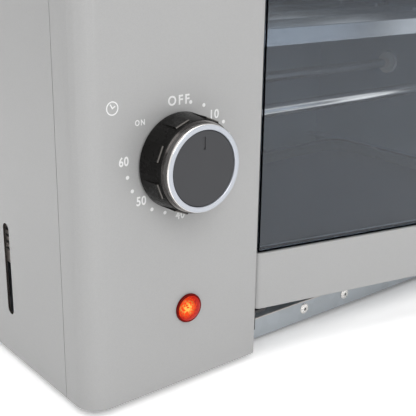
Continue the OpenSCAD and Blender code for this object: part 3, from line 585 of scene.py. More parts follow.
MOTOR = RolledMetal("plated can", (0.30, 0.31, 0.32), metallic=0.9, roughness=0.35, bump=0.005,
                    amount=0.2)
BUSH = RolledMetal("sintered bronze", (0.45, 0.28, 0.10), metallic=0.9, roughness=0.45, bump=0.01,
                   amount=0.25)
TUBE = RolledMetal("polished sheath", (0.92, 0.87, 0.80), metallic=1.0, roughness=0.12, bump=0.001,
                   amount=0.12, scale=700.0, grain=Grain.ALONG_X)
CERAMIC = Finish("unglazed ceramic", (0.72, 0.69, 0.62), roughness=0.7, bump=0.02, amount=0.15)
SKEWER = RolledMetal("polished steel", (0.58, 0.58, 0.57), metallic=1.0, roughness=0.22, bump=0.003,
                     amount=0.15, scale=1100.0, grain=Grain.ALONG_X)
PRINT = Finish("white print", (0.93, 0.93, 0.93), roughness=0.55, bump=0.004, amount=0.04)
CAP = RolledMetal("grey disc", (0.135, 0.138, 0.146), metallic=0.75, roughness=0.36, bump=0.001,
                  amount=0.1)
LAMP_RIM = Finish("dark red rim", (0.19, 0.005, 0.003), roughness=0.2, specular=0.06, bump=0.002,
                  amount=0.2)
# Painted highlight: a lighter finish on the end steps of the knob's pads, for the bright lines that light
# draws on the black grip.
PAD_STEP_HIGHLIGHT = Finish("painted pad highlight", (0.11, 0.10, 0.09), roughness=0.3, specular=0.6, bump=0.002,
                  amount=0.2)
POINTER = Finish("pointer groove", (0.066, 0.066, 0.07), roughness=0.5, specular=0.2, bump=0.002)
# Painted shade: a near-black finish for the cut faces inside the vent slots, where the slots lie in shade.
SLOT_WALL_SHADE = Finish("painted shade in slots", (0.030, 0.024, 0.021), roughness=0.6, specular=0.2, bump=0.006,
                  amount=0.4)
# The guard's own pale metal, made paler still as painted light for the light that comes in through the vent
# slots.
GUARD_METAL_AND_LIGHT = RolledMetal("pale guard and painted light", (0.66, 0.60, 0.57), metallic=0.15, roughness=0.5, bump=0.004,
                    amount=0.2)
CORE = RolledMetal("broken core", (0.10, 0.10, 0.10), metallic=0.8, roughness=0.45, bump=0.01, amount=0.4)
SLOT_FINISH: dict[Slot, Finish] = {
    Slot.ENAMEL: ENAMEL, Slot.ZINC: ZINC, Slot.LINER: LINER, Slot.TRAY: TRAY, Slot.DARK: DARK,
    Slot.SCREW: SCREW, Slot.RIVET: RIVET, Slot.FOOT: RUBBER, Slot.GLASS: GLASS, Slot.SEAL: SEAL,
    Slot.HANDLE: HANDLE, Slot.KNOB: KNOB_BLACK, Slot.RING: RING, Slot.CAP: CAP, Slot.PRINT: IVORY,
    Slot.LENS: LAMP_RIM, Slot.MOTOR: MOTOR, Slot.BUSH: BUSH, Slot.TUBE: TUBE, Slot.CERAMIC: CERAMIC,
    Slot.SKEWER: SKEWER}


# ----------------------------------------------------------------------------- mesh kit

RECORD = frame["record"]
SLOT_OF: dict[str, str] = {entry["node"]: entry["material_slot"] for entry in RECORD["subparts"]}
BODY_OF: dict[str, str] = {node: body for body, nodes in RECORD["behaviour"]["bodies"].items()
                           for node in nodes}


@dataclass(frozen=True)
class Softening:
    """How the edges of a piece are broken."""

    width: float = 0.15 * MM
    segments: int = 2
    angle: float = 32.0

    def apply(self, piece: Piece) -> Piece:
        """Break the sharp edges of a piece and shade its bends smooth.

        Args:
            piece: the piece, with a clean mesh.

        Returns:
            The same piece with a plain mesh.
        """
        bevel = piece.modifiers.new("broken edges", "BEVEL")
        bevel.width = self.width
        bevel.segments = self.segments
        bevel.limit_method = "ANGLE"
        bevel.angle_limit = math.radians(self.angle)
        bevel.harden_normals = True
        bevel.use_clamp_overlap = True
        piece.data.shade_smooth()
        piece.data.set_sharp_from_angle(angle=math.radians(self.angle))
        return settle(piece)


def closed(work: bmesh.types.BMesh, mesh: Mesh, place: Matrix, merge: float = TOUCHING) -> Mesh:
    """Join a drawn mesh's corners, put it in place, turn its faces outward and store it.

    Args:
        work: what was drawn; it is freed.
        mesh: where it is stored.
        place: turns and moves the drawn mesh to its place.
        merge: how close together corners are joined.

    Returns:
        The stored mesh.
    """
    bmesh.ops.remove_doubles(work, verts=work.verts, dist=merge)
    bmesh.ops.transform(work, matrix=place, verts=work.verts)
    bmesh.ops.recalc_face_normals(work, faces=work.faces)
    work.to_mesh(mesh)
    work.free()
    return mesh


def linked(name: str, data: bpy.types.ID) -> Piece:
    """Make an object of some data and link it into the scene.

    Args:
        name: the object's name.
        data: its mesh, curve, camera or light.

    Returns:
        The new object.
    """
    made = bpy.data.objects.new(name, data)
    bpy.context.scene.collection.objects.link(made)
    return made


def mesh_object(name: str, mesh: Mesh, finishes: Sequence[Finish]) -> Piece:
    """Link a mesh into the scene with its finishes.

    Args:
        name: the piece's name.
        mesh: its mesh, already in place.
        finishes: the finishes, in slot order.

    Returns:
        The new object at the origin.
    """
    piece = linked(name, mesh)
    mesh.materials.clear()
    for finish in finishes:
        mesh.materials.append(finish.material())
    return piece


def settle(piece: Piece) -> Piece:
    """Turn a piece with modifiers into a plain mesh.

    Args:
        piece: the piece with its modifiers.

    Returns:
        The same piece.
    """
    depsgraph = bpy.context.evaluated_depsgraph_get()
    mesh = bpy.data.meshes.new_from_object(piece.evaluated_get(depsgraph))
    old = piece.data
    piece.modifiers.clear()
    piece.data = mesh
    mesh.name = piece.name
    bpy.data.meshes.remove(old)
    return piece


def fasten(piece: Piece, body: Body | str, slot: Slot, *stands_for: str) -> Piece:
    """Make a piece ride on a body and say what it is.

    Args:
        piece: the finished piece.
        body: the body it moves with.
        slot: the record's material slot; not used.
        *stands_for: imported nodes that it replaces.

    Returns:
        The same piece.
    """
    carrier = body.value if isinstance(body, Body) else body
    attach(piece, carrier)
    if stands_for:
        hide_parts(*stands_for)
    log.info("%s rides on %s%s", piece.name, carrier, f" for {', '.join(stands_for)}" if stands_for else "")
    return piece


def dressed(node: str, softening: Softening = Softening(), finishes: Sequence[Finish] = (),
            choose: Optional[Callable[[Vector], int]] = None) -> Piece:
    """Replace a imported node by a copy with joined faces, smooth bends and broken edges.

    Args:
        node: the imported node.
        softening: how its edges are broken.
        finishes: its finishes, or none for the finish of its slot.
        choose: gives the finish's number for a face centre, where there are several.

    Returns:
        The new piece.
    """
    work = bmesh.new()
    work.from_mesh(frame["nodes"][node].data)
    bmesh.ops.remove_doubles(work, verts=work.verts, dist=JOINED)
    bmesh.ops.dissolve_limit(work, angle_limit=math.radians(FLAT), verts=work.verts, edges=work.edges)
    mesh = bpy.data.meshes.new(node)
    work.to_mesh(mesh)
    work.free()
    slot = Slot(SLOT_OF[node])
    piece = mesh_object(f"{node}_finished", mesh, finishes or [SLOT_FINISH[slot]])
    softening.apply(piece)
    if choose is not None:
        for face in piece.data.polygons:
            face.material_index = choose(face.center)
    return fasten(piece, BODY_OF[node], slot, node)


def prism(name: str, outline: Sequence[Pair], low: float, high: float, finish: Finish,
          place: Matrix) -> Piece:
    """Extrude an outline in x and y between two heights and put it in place.

    Args:
        name: the piece's name.
        outline: corners in order.
        low: lower height.
        high: upper height.
        finish: its finish.
        place: turns and moves the drawn piece to its place.

    Returns:
        The new object.
    """
    work = bmesh.new()
    base = work.faces.new([work.verts.new((x, y, low)) for x, y in outline])
    made = bmesh.ops.extrude_face_region(work, geom=[base])
    raised = [part for part in made["geom"] if isinstance(part, bmesh.types.BMVert)]
    bmesh.ops.translate(work, vec=(0.0, 0.0, high - low), verts=raised)
    return mesh_object(name, closed(work, bpy.data.meshes.new(name), place), [finish])


def lathe(name: str, profile: Sequence[Pair], segments: int, finish: Finish,
          place: Matrix) -> Piece:
    """Turn a closed profile of radius and height round the z axis and put it in place.

    Args:
        name: the piece's name.
        profile: radius and height of each corner, in order, closed at the end.
        segments: steps round the axis.
        finish: its finish.
        place: turns and moves the drawn piece to its place.

    Returns:
        The new object.
    """
    work = bmesh.new()
    rings = []
    for step in range(segments):
        angle = math.tau * step / segments
        rings.append([work.verts.new((r * math.cos(angle), r * math.sin(angle), h)) for r, h in profile])
    for here, there in zip(rings, rings[1:] + rings[:1]):
        for i in range(len(profile)):
            j = (i + 1) % len(profile)
            work.faces.new((here[i], there[i], there[j], here[j]))
    return mesh_object(name, closed(work, bpy.data.meshes.new(name), place), [finish])


class GeometryGraph:
    """A geometry node tree with named inputs, built step by step."""

    def __init__(self, name: str) -> None:
        """Open a new tree with its input and output nodes.

        Args:
            name: the tree's name.
        """
        self.tree = bpy.data.node_groups.new(name, "GeometryNodeTree")
        self.values: dict[str, object] = {}
        self.graph = ShaderGraph(self.tree)
        self.source = self.tree.nodes.new("NodeGroupInput")
        self.sink = self.tree.nodes.new("NodeGroupOutput")
        self.tree.interface.new_socket(name="Geometry", in_out="OUTPUT", socket_type="NodeSocketGeometry")

    def input(self, name: str, value: object) -> Socket:
        """Declare a named input and its value.

        Args:
            name: what the input is called.
            value: a number, whole number, vector or material.

        Returns:
            The socket that gives the value inside the tree.
        """
        kind = {float: "NodeSocketFloat", int: "NodeSocketInt", tuple: "NodeSocketVector"}.get(
            type(value), "NodeSocketMaterial")
        self.tree.interface.new_socket(name=name, in_out="INPUT", socket_type=kind)
        self.values[name] = value
        return self.source.outputs[name]

    def add(self, kind: str, **values: object) -> Socket:
        """Add a node and return its first output; the keys are those of ShaderGraph.add."""
        return self.graph.add(kind, **values).outputs[0]

    def math(self, operation: str, a: object, b: object = 0.0) -> Socket:
        """Return the result socket of a Math node."""
        return self.graph.math(operation, a, b)

    def finish(self, geometry: Socket, finish: Finish, name: str, place: Matrix) -> Piece:
        """End the tree, run it and return the result as a plain mesh object.

        Args:
            geometry: the socket with the made geometry.
            finish: the finish of the result.
            name: the piece's name.
            place: turns and moves the made mesh to its place.

        Returns:
            An object at the origin with a plain mesh.
        """
        ink = self.input("Finish", finish.material())
        real = self.add("GeometryNodeRealizeInstances", Geometry=geometry)
        coated = self.add("GeometryNodeSetMaterial", Geometry=real, Material=ink)
        self.tree.links.new(coated, self.sink.inputs[0])
        carrier = mesh_object(name, bpy.data.meshes.new(name), [])
        modifier = carrier.modifiers.new("made", "NODES")
        modifier.node_group = self.tree
        for item in self.tree.interface.items_tree:
            if item.in_out == "INPUT":
                modifier[item.identifier] = self.values[item.name]
        settle(carrier)
        work = bmesh.new()
        work.from_mesh(carrier.data)
        closed(work, carrier.data, place, 2 * TOUCHING)
        return carrier


def facing_front(at: Vector) -> Matrix:
    """Return the matrix that turns +Z towards the front and moves the origin to a point."""
    return Matrix.Translation(at) @ Matrix.Rotation(math.radians(90), 4, "X")


def box_in(node: str, place: Matrix) -> tuple[Vector, Vector]:
    """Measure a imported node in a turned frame.

    Args:
        node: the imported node.
        place: the frame's place.

    Returns:
        The lowest and the highest corner in that frame.
    """
    back = place.inverted()
    spots = [back @ vertex.co for vertex in frame["nodes"][node].data.vertices]
    return tuple(Vector([pick(spot[i] for spot in spots) for i in range(3)]) for pick in (min, max))


# ------------------------------------------------------------------------ sub-assemblies


@dataclass
class Panel:
    """Where the front face and the knob axis lie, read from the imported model."""

    face_y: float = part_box("front_frame")[0].y
    knob: Vector = (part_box("knob_ring")[0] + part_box("knob_ring")[1]) / 2

    def at(self, right: float, up: float, out: float = 0.0) -> Vector:
        """Return a point on the panel, measured from the knob axis."""
        return Vector((self.knob.x + right, self.face_y - out, self.knob.z + up))


@dataclass
class Cabinet:
    """The enamelled shell, the zinc pan and everything fixed inside them."""

    shell: Softening = Softening(0.3 * MM, 2)
    sheet: Softening = Softening(0.2 * MM, 2)
    fine: Softening = Softening(0.12 * MM, 2)
    wall: float = 1.2 * MM
    skirt_top: float = 14.0 * MM
    bend_high: float = 0.6 * MM
    bend_deep: float = 0.55 * MM
    bend_sheet: float = 0.2 * MM
    proud: float = 0.03 * MM
    bend_cut: float = 0.3
    bend_angle: float = 50.0
    skin: float = 0.12 * MM
    slots_from: float = 20 * MM
    slots_to: float = 80 * MM
    pair_gap: float = 33.8 * MM
    core_radius: float = 0.86 * MM
    core_depth: float = 0.7 * MM
    core_sides: int = 18

    def build(self) -> None:
        """Dress the shell, the pan, the chamber and the drive."""
        dressed("front_frame", self.shell)
        # The cut faces inside the vent slots take painted shade.
        dressed("cabinet_wrap", self.shell, [ENAMEL, SLOT_WALL_SHADE], self.cut_chooser())
        Guard().build()
        for node in ("back_panel", "base_pan", "front_stiffener", "liner_left", "liner_right",
                     "liner_shell", "rest_comb", "tray_rails", "hinge_brackets", "cord_gland",
                     "timer_case", "gear_plate"):
            dressed(node, self.sheet)
        for node in ("back_screws", "pan_rivets", "feet", "foot_screws", "hinge_pins", "catch_magnet",
                     "lamp_body", "gear_posts", "motor", "bushes", "insulators", "heater_front",
                     "heater_rear"):
            dressed(node, self.fine)
        self.rivet_cores()
        # Painted highlight along the skirt's upper bend.
        self.skirt_bend_highlight()

    def skirt_bend_highlight(self) -> None:
        """Lay a painted highlight, a bright line, along the bend at the skirt's upper edge."""
        left, right = (corner.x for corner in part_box("front_stiffener"))
        front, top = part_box("base_pan")[0].y, self.skirt_top
        high, deep, p, t = self.bend_high, self.bend_deep, self.proud, self.bend_sheet
        cut = t * self.bend_cut
        section = [(front - p, top - high), (front - p, top - t), (front + cut - p, top - cut + p),
                   (front + t, top + p), (front + deep, top + p), (front + deep, top - t),
                   (front + t, top - t), (front + t, top - high)]
        turned = Matrix.Rotation(math.radians(90), 4, "Y")
        line = prism("skirt_bend_highlight", [(-z, y) for y, z in section], left, right, BEND_HIGHLIGHT, turned)
        line.data.shade_smooth()
        line.data.set_sharp_from_angle(angle=math.radians(self.bend_angle))
        fasten(line, Body.CABINET, Slot.ZINC)

    def cut_chooser(self) -> Callable[[Vector], int]:
        """Make what tells the cut faces inside the vent slots, which take painted shade, from the enamelled
        ones.

        Returns:
            A function that gives 1 for the middle of a cut face and 0 for any other.
        """
        low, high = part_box("cabinet_wrap")
        inner = high.x - low.x - 2 * self.wall
        middle = (low.x + high.x) / 2

        def is_cut(centre: Vector) -> int:
            """Tell whether a face lies between the two sides of a wall, in the slots' height.

            Args:
                centre: the middle of the face.

            Returns:
                1 if it does, and 0 if not.
            """
            beyond = abs(centre.x - middle) - inner / 2
            in_wall = self.skin < beyond < self.wall - self.skin
            return int(in_wall and self.slots_from < centre.z < self.slots_to)
        return is_cut

    def rivet_cores(self) -> None:
        """Set the broken-off steel core into the head of each blind rivet."""
        low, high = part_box("pan_rivets")
        head = (high.z - low.z) / 2
        g = GeometryGraph("Rivet Cores")
        pair = g.input("Pair Gap", (self.pair_gap, 0.0, 0.0))
        group = g.input("Group Gap", (high.x - low.x - 2 * head - self.pair_gap, 0.0, 0.0))
        cores = g.add("GeometryNodeMeshCylinder", Vertices=self.core_sides,
                      Radius=g.input("Radius", self.core_radius), Depth=g.input("Depth", self.core_depth))
        for gap in (pair, group):
            places = g.add("GeometryNodeMeshLine", Count=2, Offset=gap)
            cores = g.add("GeometryNodeInstanceOnPoints", Points=places, Instance=cores)
        first = Vector((low.x + head, low.y + self.core_depth, (low.z + high.z) / 2))
        piece = g.finish(cores, CORE, "rivet_cores", facing_front(first))
        fasten(piece, Body.CABINET, Slot.SCREW)


@dataclass
class Guard:
    """The folded sheet with rows of slits that stands behind the vent slots of the left wall."""

    sheet: float = 0.8 * MM
    below: float = 1.9 * MM
    first_slit: float = 4.6 * MM
    slit: float = 1.6 * MM
    slit_pitch: float = 3.53 * MM
    rows: int = 7
    post: float = 1.5 * MM
    post_share: float = 0.8
    post_pitch: float = 18 * MM

    def build(self) -> None:
        """Make the plate, the head, the lip, the bars between the slits and the posts in one tree."""
        low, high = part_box("vent_guard")
        foot, t, long = low.z - self.below, self.sheet, high.y - low.y
        first = low.z + self.first_slit
        last = first + (self.rows - 1) * self.slit_pitch + self.slit
        bar = self.slit_pitch - self.slit
        spans = round(long / self.post_pitch)
        x, y, still = high.x - t / 2, (low.y + high.y) / 2, (0.0, 0.0, 0.0)
        strips = (
            ("Plate", (t, long, first - foot), (x, y, (first + foot) / 2), 1, still),
            ("Head", (t, long, high.z - last), (x, y, (high.z + last) / 2), 1, still),
            ("Lip", (high.x - low.x, long, t), ((low.x + high.x) / 2, y, high.z - t / 2), 1, still),
            ("Bars", (t, long, bar), (x, y, first + self.slit + bar / 2), self.rows - 1,
             (0.0, 0.0, self.slit_pitch)),
            ("Posts", (t * self.post_share, self.post, last - first + bar),
             (x, low.y + self.post / 2, (first + last) / 2), spans + 1,
             (0.0, self.post_pitch - self.post / spans, 0.0)))
        g = GeometryGraph("Guard Slits")
        joined = g.graph.add("GeometryNodeJoinGeometry")
        for strip in strips:
            g.tree.links.new(self.row(g, *strip), joined.inputs[0])
        # The guard's pale finish is partly painted light.
        fasten(g.finish(joined.outputs[0], GUARD_METAL_AND_LIGHT, "vent_guard_slits", Matrix.Identity(4)), Body.CABINET,
               Slot(SLOT_OF["vent_guard"]), "vent_guard")

    def row(self, g: GeometryGraph, name: str, size: Triple, start: Triple, count: int,
            step: Triple) -> Socket:
        """Add a row of equal strips to the tree.

        Args:
            g: the tree.
            name: what its inputs are called after.
            size: extent of one strip.
            start: middle of the first.
            count: how many there are.
            step: from one strip to the next.

        Returns:
            The row's geometry.
        """
        cube = g.add("GeometryNodeMeshCube", Size=g.input(f"{name} Size", size))
        points = g.add("GeometryNodeMeshLine", Count=g.input(f"{name} Count", count),
                       i2=g.input(f"{name} Start", start), Offset=g.input(f"{name} Step", step))
        return g.add("GeometryNodeInstanceOnPoints", Points=points, Instance=cube)


@dataclass
class Drive:
    """Gears, spindles and skewers, each on its own body."""

    tooth: Softening = Softening(0.12 * MM, 1)
    blade: Softening = Softening(0.3 * MM, 2)
    count: int = 5

    def build(self) -> None:
        """Dress every turning piece."""
        dressed("pinion", self.tooth)
        for number in range(1, self.count + 1):
            dressed(f"gear_{number}", self.tooth)
            dressed(f"spindle_{number}", self.tooth)
            dressed(f"skewer_{number}", self.blade)


@dataclass
class Door:
    """Rails, stile, glass with its gasket, and handle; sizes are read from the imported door."""

    ajar: float = 12.1
    edge: Softening = Softening(0.7 * MM, 3)
    joint: Softening = Softening(0.15 * MM, 2)
    fine: Softening = Softening(0.2 * MM, 2)
    glass_edge: Softening = Softening(0.3 * MM, 2)
    bead: float = 0.6 * MM
    bead_sides: int = 10
    lip: float = 0.6 * MM

    def place(self) -> Matrix:
        """Find the door's own frame.

        Returns:
            A matrix with x along the door, y to its back and z up from the hinge.
        """
        low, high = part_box("hinge_pins")
        axis = Vector(((low.x + high.x) / 2, (low.y + high.y) / 2, 0.0))
        return Matrix.Translation(axis) @ Matrix.Rotation(math.radians(-self.ajar), 4, "Z")

    def build(self) -> None:
        """Dress the rails and make glass, gasket and edge channel."""
        for node in ("door_rail_bottom", "door_rail_top"):
            dressed(node, self.edge)
        dressed("door_stile", self.joint)
        for node in ("handle_bar", "handle_posts", "catch_striker"):
            dressed(node, self.fine)
        self.glazing()

    def glazing(self) -> None:
        """Make the pane, the channel on its free edge and the two beads round the opening."""
        place = self.place()
        face = place @ Matrix.Rotation(math.radians(90), 4, "X")
        glass_low, glass_high = box_in("door_glass", place)
        seal_low, seal_high = box_in("door_seal", place)
        stile_low, _ = box_in("door_stile", place)
        wall = self.lip / 2
        left = seal_low.x + wall
        outline = [(glass_low.x, glass_low.z), (glass_high.x, glass_low.z), (glass_high.x, glass_high.z),
                   (glass_low.x, glass_high.z), (glass_low.x, seal_high.z), (left, seal_high.z),
                   (left, seal_low.z), (glass_low.x, seal_low.z)]
        pane = prism("glass_pane", outline, -glass_high.y, -glass_low.y, GLASS, face)
        fasten(self.glass_edge.apply(pane), Body.DOOR, Slot.GLASS, "door_glass")
        lip_x = seal_low.x + self.lip
        channel = [(seal_low.x, glass_low.y - wall), (lip_x, glass_low.y - wall), (lip_x, glass_low.y),
                   (left, glass_low.y), (left, glass_high.y), (lip_x, glass_high.y),
                   (lip_x, glass_high.y + wall), (seal_low.x, glass_high.y + wall)]
        strip = prism("edge_channel", channel, seal_low.z, seal_high.z, SEAL, place)
        fasten(self.joint.apply(strip), Body.DOOR, Slot.SEAL, "door_seal")
        self.beads(face, (lip_x, stile_low.x), (seal_low.z, seal_high.z), (-glass_low.y, -glass_high.y))

    def beads(self, face: Matrix, across: Pair, upright: Pair, faces: Pair) -> None:
        """Lay a rubber bead round both faces of the glass.

        Args:
            face: the door's frame with z towards the front.
            across: left and right end of the glazed opening.
            upright: lower and upper end of the glazed opening.
            faces: how far out the two faces of the glass lie.
        """
        g = GeometryGraph("Glazing Bead")
        radius = g.input("Bead Radius", self.bead)
        path = g.add("GeometryNodeCurvePrimitiveQuadrilateral",
                     Width=g.input("Width", across[1] - across[0] - 2 * self.bead),
                     Height=g.input("Height", upright[1] - upright[0] - 2 * self.bead))
        section = g.add("GeometryNodeCurvePrimitiveCircle", Resolution=self.bead_sides, Radius=radius)
        bead = g.add("GeometryNodeCurveToMesh", i0=path, i1=section)
        step = g.input("Between Faces", (0.0, 0.0, faces[1] - faces[0] - 2 * self.bead))
        line = g.add("GeometryNodeMeshLine", Count=2, Offset=step)
        both = g.add("GeometryNodeInstanceOnPoints", Points=line, Instance=bead)
        middle = Vector((sum(across) / 2, sum(upright) / 2, faces[0] + self.bead))
        piece = g.finish(both, SEAL, "glazing_bead", face @ Matrix.Translation(middle))
        piece.data.shade_smooth()
        fasten(piece, Body.DOOR, Slot.SEAL)


@dataclass
class Tray:
    """The drawn drip tray."""

    edge: Softening = Softening(0.3 * MM, 2)

    def build(self) -> None:
        """Dress the tray."""
        dressed("drip_tray", self.edge)


@dataclass
class Knob:
    """The timer knob: grip, smoked collar, ring, disc with its pointer groove, and shaft."""

    panel: Panel
    collar_from: float = 14.9 * MM
    step_from: float = 12.85 * MM
    pad_from: float = 20.9 * MM
    rim_from: float = 19.25 * MM
    edge: Softening = Softening(0.35 * MM, 3, 28.0)
    ring_edge: Softening = Softening(0.12 * MM, 2, 20.0)
    pointer_half: float = 0.47 * MM
    pointer_steps: int = 8
    pointer_ends: Pair = (9.3 * MM, 13.8 * MM)
    pointer_out: Pair = (17.95 * MM, 18.2 * MM)

    def reach(self, centre: Vector) -> float:
        """Return a point's distance from the knob axis."""
        return math.hypot(centre.x - self.panel.knob.x, centre.z - self.panel.knob.z)

    def which_part(self, centre: Vector) -> int:
        """Tell the finishes of the knob's body apart.

        Args:
            centre: the middle of a face.

        Returns:
            1 for the collar, 2 for the end step of a pad, which takes a painted highlight, and 0 for the
            rest of the grip.
        """
        out = self.panel.face_y - centre.y
        if out > self.collar_from:
            return 1
        return 2 if out > self.step_from and self.reach(centre) > self.pad_from else 0

    def is_rim(self, centre: Vector) -> int:
        """Return 1 for a face on the ring's outer edge and 0 for one on its flat."""
        return int(self.reach(centre) > self.rim_from)

    def build(self) -> None:
        """Dress the knob and fill its pointer groove."""
        # The end steps of the pads take a painted highlight.
        dressed("knob_body", self.edge, [KNOB_BLACK, KNOB_COLLAR, PAD_STEP_HIGHLIGHT], self.which_part)
        dressed("knob_ring", self.ring_edge, [RING, CHROME], self.is_rim)
        dressed("knob_cap", self.ring_edge, [TurnedFace("turned disc", (0.057, 0.058, 0.062), metallic=0.7,
                                                        roughness=0.34, bump=0.0005, amount=0.08,
                                                        centre=tuple(self.panel.at(0, 0)))])
        dressed("timer_shaft")
        low, high = self.pointer_ends
        half, steps = self.pointer_half, self.pointer_steps
        turns = [math.pi * k / steps for k in range(steps + 1)]
        arc = [(half * math.cos(a), half * math.sin(a)) for a in turns]
        outline = [(x, high - half + y) for x, y in arc] + [(-x, low + half - y) for x, y in arc]
        line = prism("pointer_line", outline, *self.pointer_out, POINTER, facing_front(self.panel.at(0, 0)))
        fasten(line, Body.KNOB, Slot.KNOB)


@dataclass
class Lamp:
    """The pilot lamp: a dark red rim round a cut lens that glows.

    The rim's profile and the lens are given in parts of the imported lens's radius and rise.
    """

    panel: Panel
    sides: int = 22
    tiers: int = 8
    seed: int = 11
    hot_spot: Triple = (-2.4 * MM, 0.0, 1.3 * MM)
    rim_profile: tuple[Pair, ...] = ((0.0, 0.0), (1.0, 0.0), (1.0, 0.26), (0.965, 0.40), (0.925, 0.42),
                                     (0.88, 0.34), (0.0, 0.30))
    rim_steps: int = 64
    lens_radius: float = 0.88
    lens_foot: float = 0.31
    lens_rise: float = 0.66

    def build(self) -> None:
        """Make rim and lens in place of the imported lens."""
        low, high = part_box("lamp_lens")
        radius = (high.x - low.x) / 2
        rise = self.panel.face_y - low.y
        place = facing_front(Vector(((low.x + high.x) / 2, self.panel.face_y, (low.z + high.z) / 2)))
        glow = JewelLens("cut red lens", (0.10, 0.004, 0.002), roughness=0.15, specular=0.08,
                         centre=tuple(place.translation + Vector(self.hot_spot)), radius=radius)
        profile = [(radius * across, rise * out) for across, out in self.rim_profile]
        rim = lathe("lamp_rim", profile, self.rim_steps, LAMP_RIM, place)
        rim.data.shade_smooth()
        fasten(rim, Body.CABINET, Slot.LENS, "lamp_lens")
        foot = place @ Matrix.Translation((0.0, 0.0, rise * self.lens_foot))
        self.lens(foot, radius * self.lens_radius, rise * self.lens_rise, glow)

    def lens(self, place: Matrix, radius: float, rise: float, glow: Finish) -> None:
        """Cut the dome into tiers of facets, each tier turned by half a facet.

        Args:
            place: where its base circle lies.
            radius: radius of the base circle.
            rise: height of the dome.
            glow: its finish.
        """
        g = GeometryGraph("Cut Lens")
        sides = g.input("Sides", self.sides)
        tiers = g.input("Tiers", self.tiers)
        base = g.input("Radius", radius)
        height = g.input("Rise", rise)
        rows = g.math("ADD", tiers, 1.0)
        grid = g.add("GeometryNodeMeshGrid", Vertices_X=g.math("ADD", sides, 1.0), Vertices_Y=rows)
        index = g.add("GeometryNodeInputIndex")
        tier = g.math("MODULO", index, rows)
        column = g.math("FLOOR", g.math("DIVIDE", g.math("ADD", index, 0.5), rows))
        half = g.math("MULTIPLY", g.math("MODULO", tier, 2.0), 0.5)
        turn = g.math("MULTIPLY", g.math("DIVIDE", g.math("ADD", column, half), sides), math.tau)
        climb = g.math("MULTIPLY", g.math("DIVIDE", tier, tiers), math.pi / 2)
        reach = g.math("MULTIPLY", base, g.math("COSINE", climb))
        spot = g.add("ShaderNodeCombineXYZ", X=g.math("MULTIPLY", reach, g.math("COSINE", turn)),
                     Y=g.math("MULTIPLY", reach, g.math("SINE", turn)),
                     Z=g.math("MULTIPLY", height, g.math("SINE", climb)))
        domed = g.add("GeometryNodeSetPosition", Geometry=grid, Position=spot)
        facets = g.add("GeometryNodeTriangulate", Mesh=domed)
        joined = g.add("GeometryNodeMergeByDistance", Geometry=facets, Distance=JOINED)
        tone = g.graph.add("FunctionNodeRandomValue", p_data_type="FLOAT", Seed=g.input("Seed", self.seed))
        marked = g.add("GeometryNodeStoreNamedAttribute", p_domain="FACE", Geometry=joined, Name="facet",
                       Value=tone.outputs[1])
        piece = g.finish(marked, glow, "lamp_facets", place)
        fasten(piece, Body.CABINET, Slot.LENS)


@dataclass(frozen=True)
class Word:
    """One printed number or word and where its middle lies, measured from the knob axis."""

    text: str
    right: float
    up: float
    width: float
    height: float = 4.3 * MM


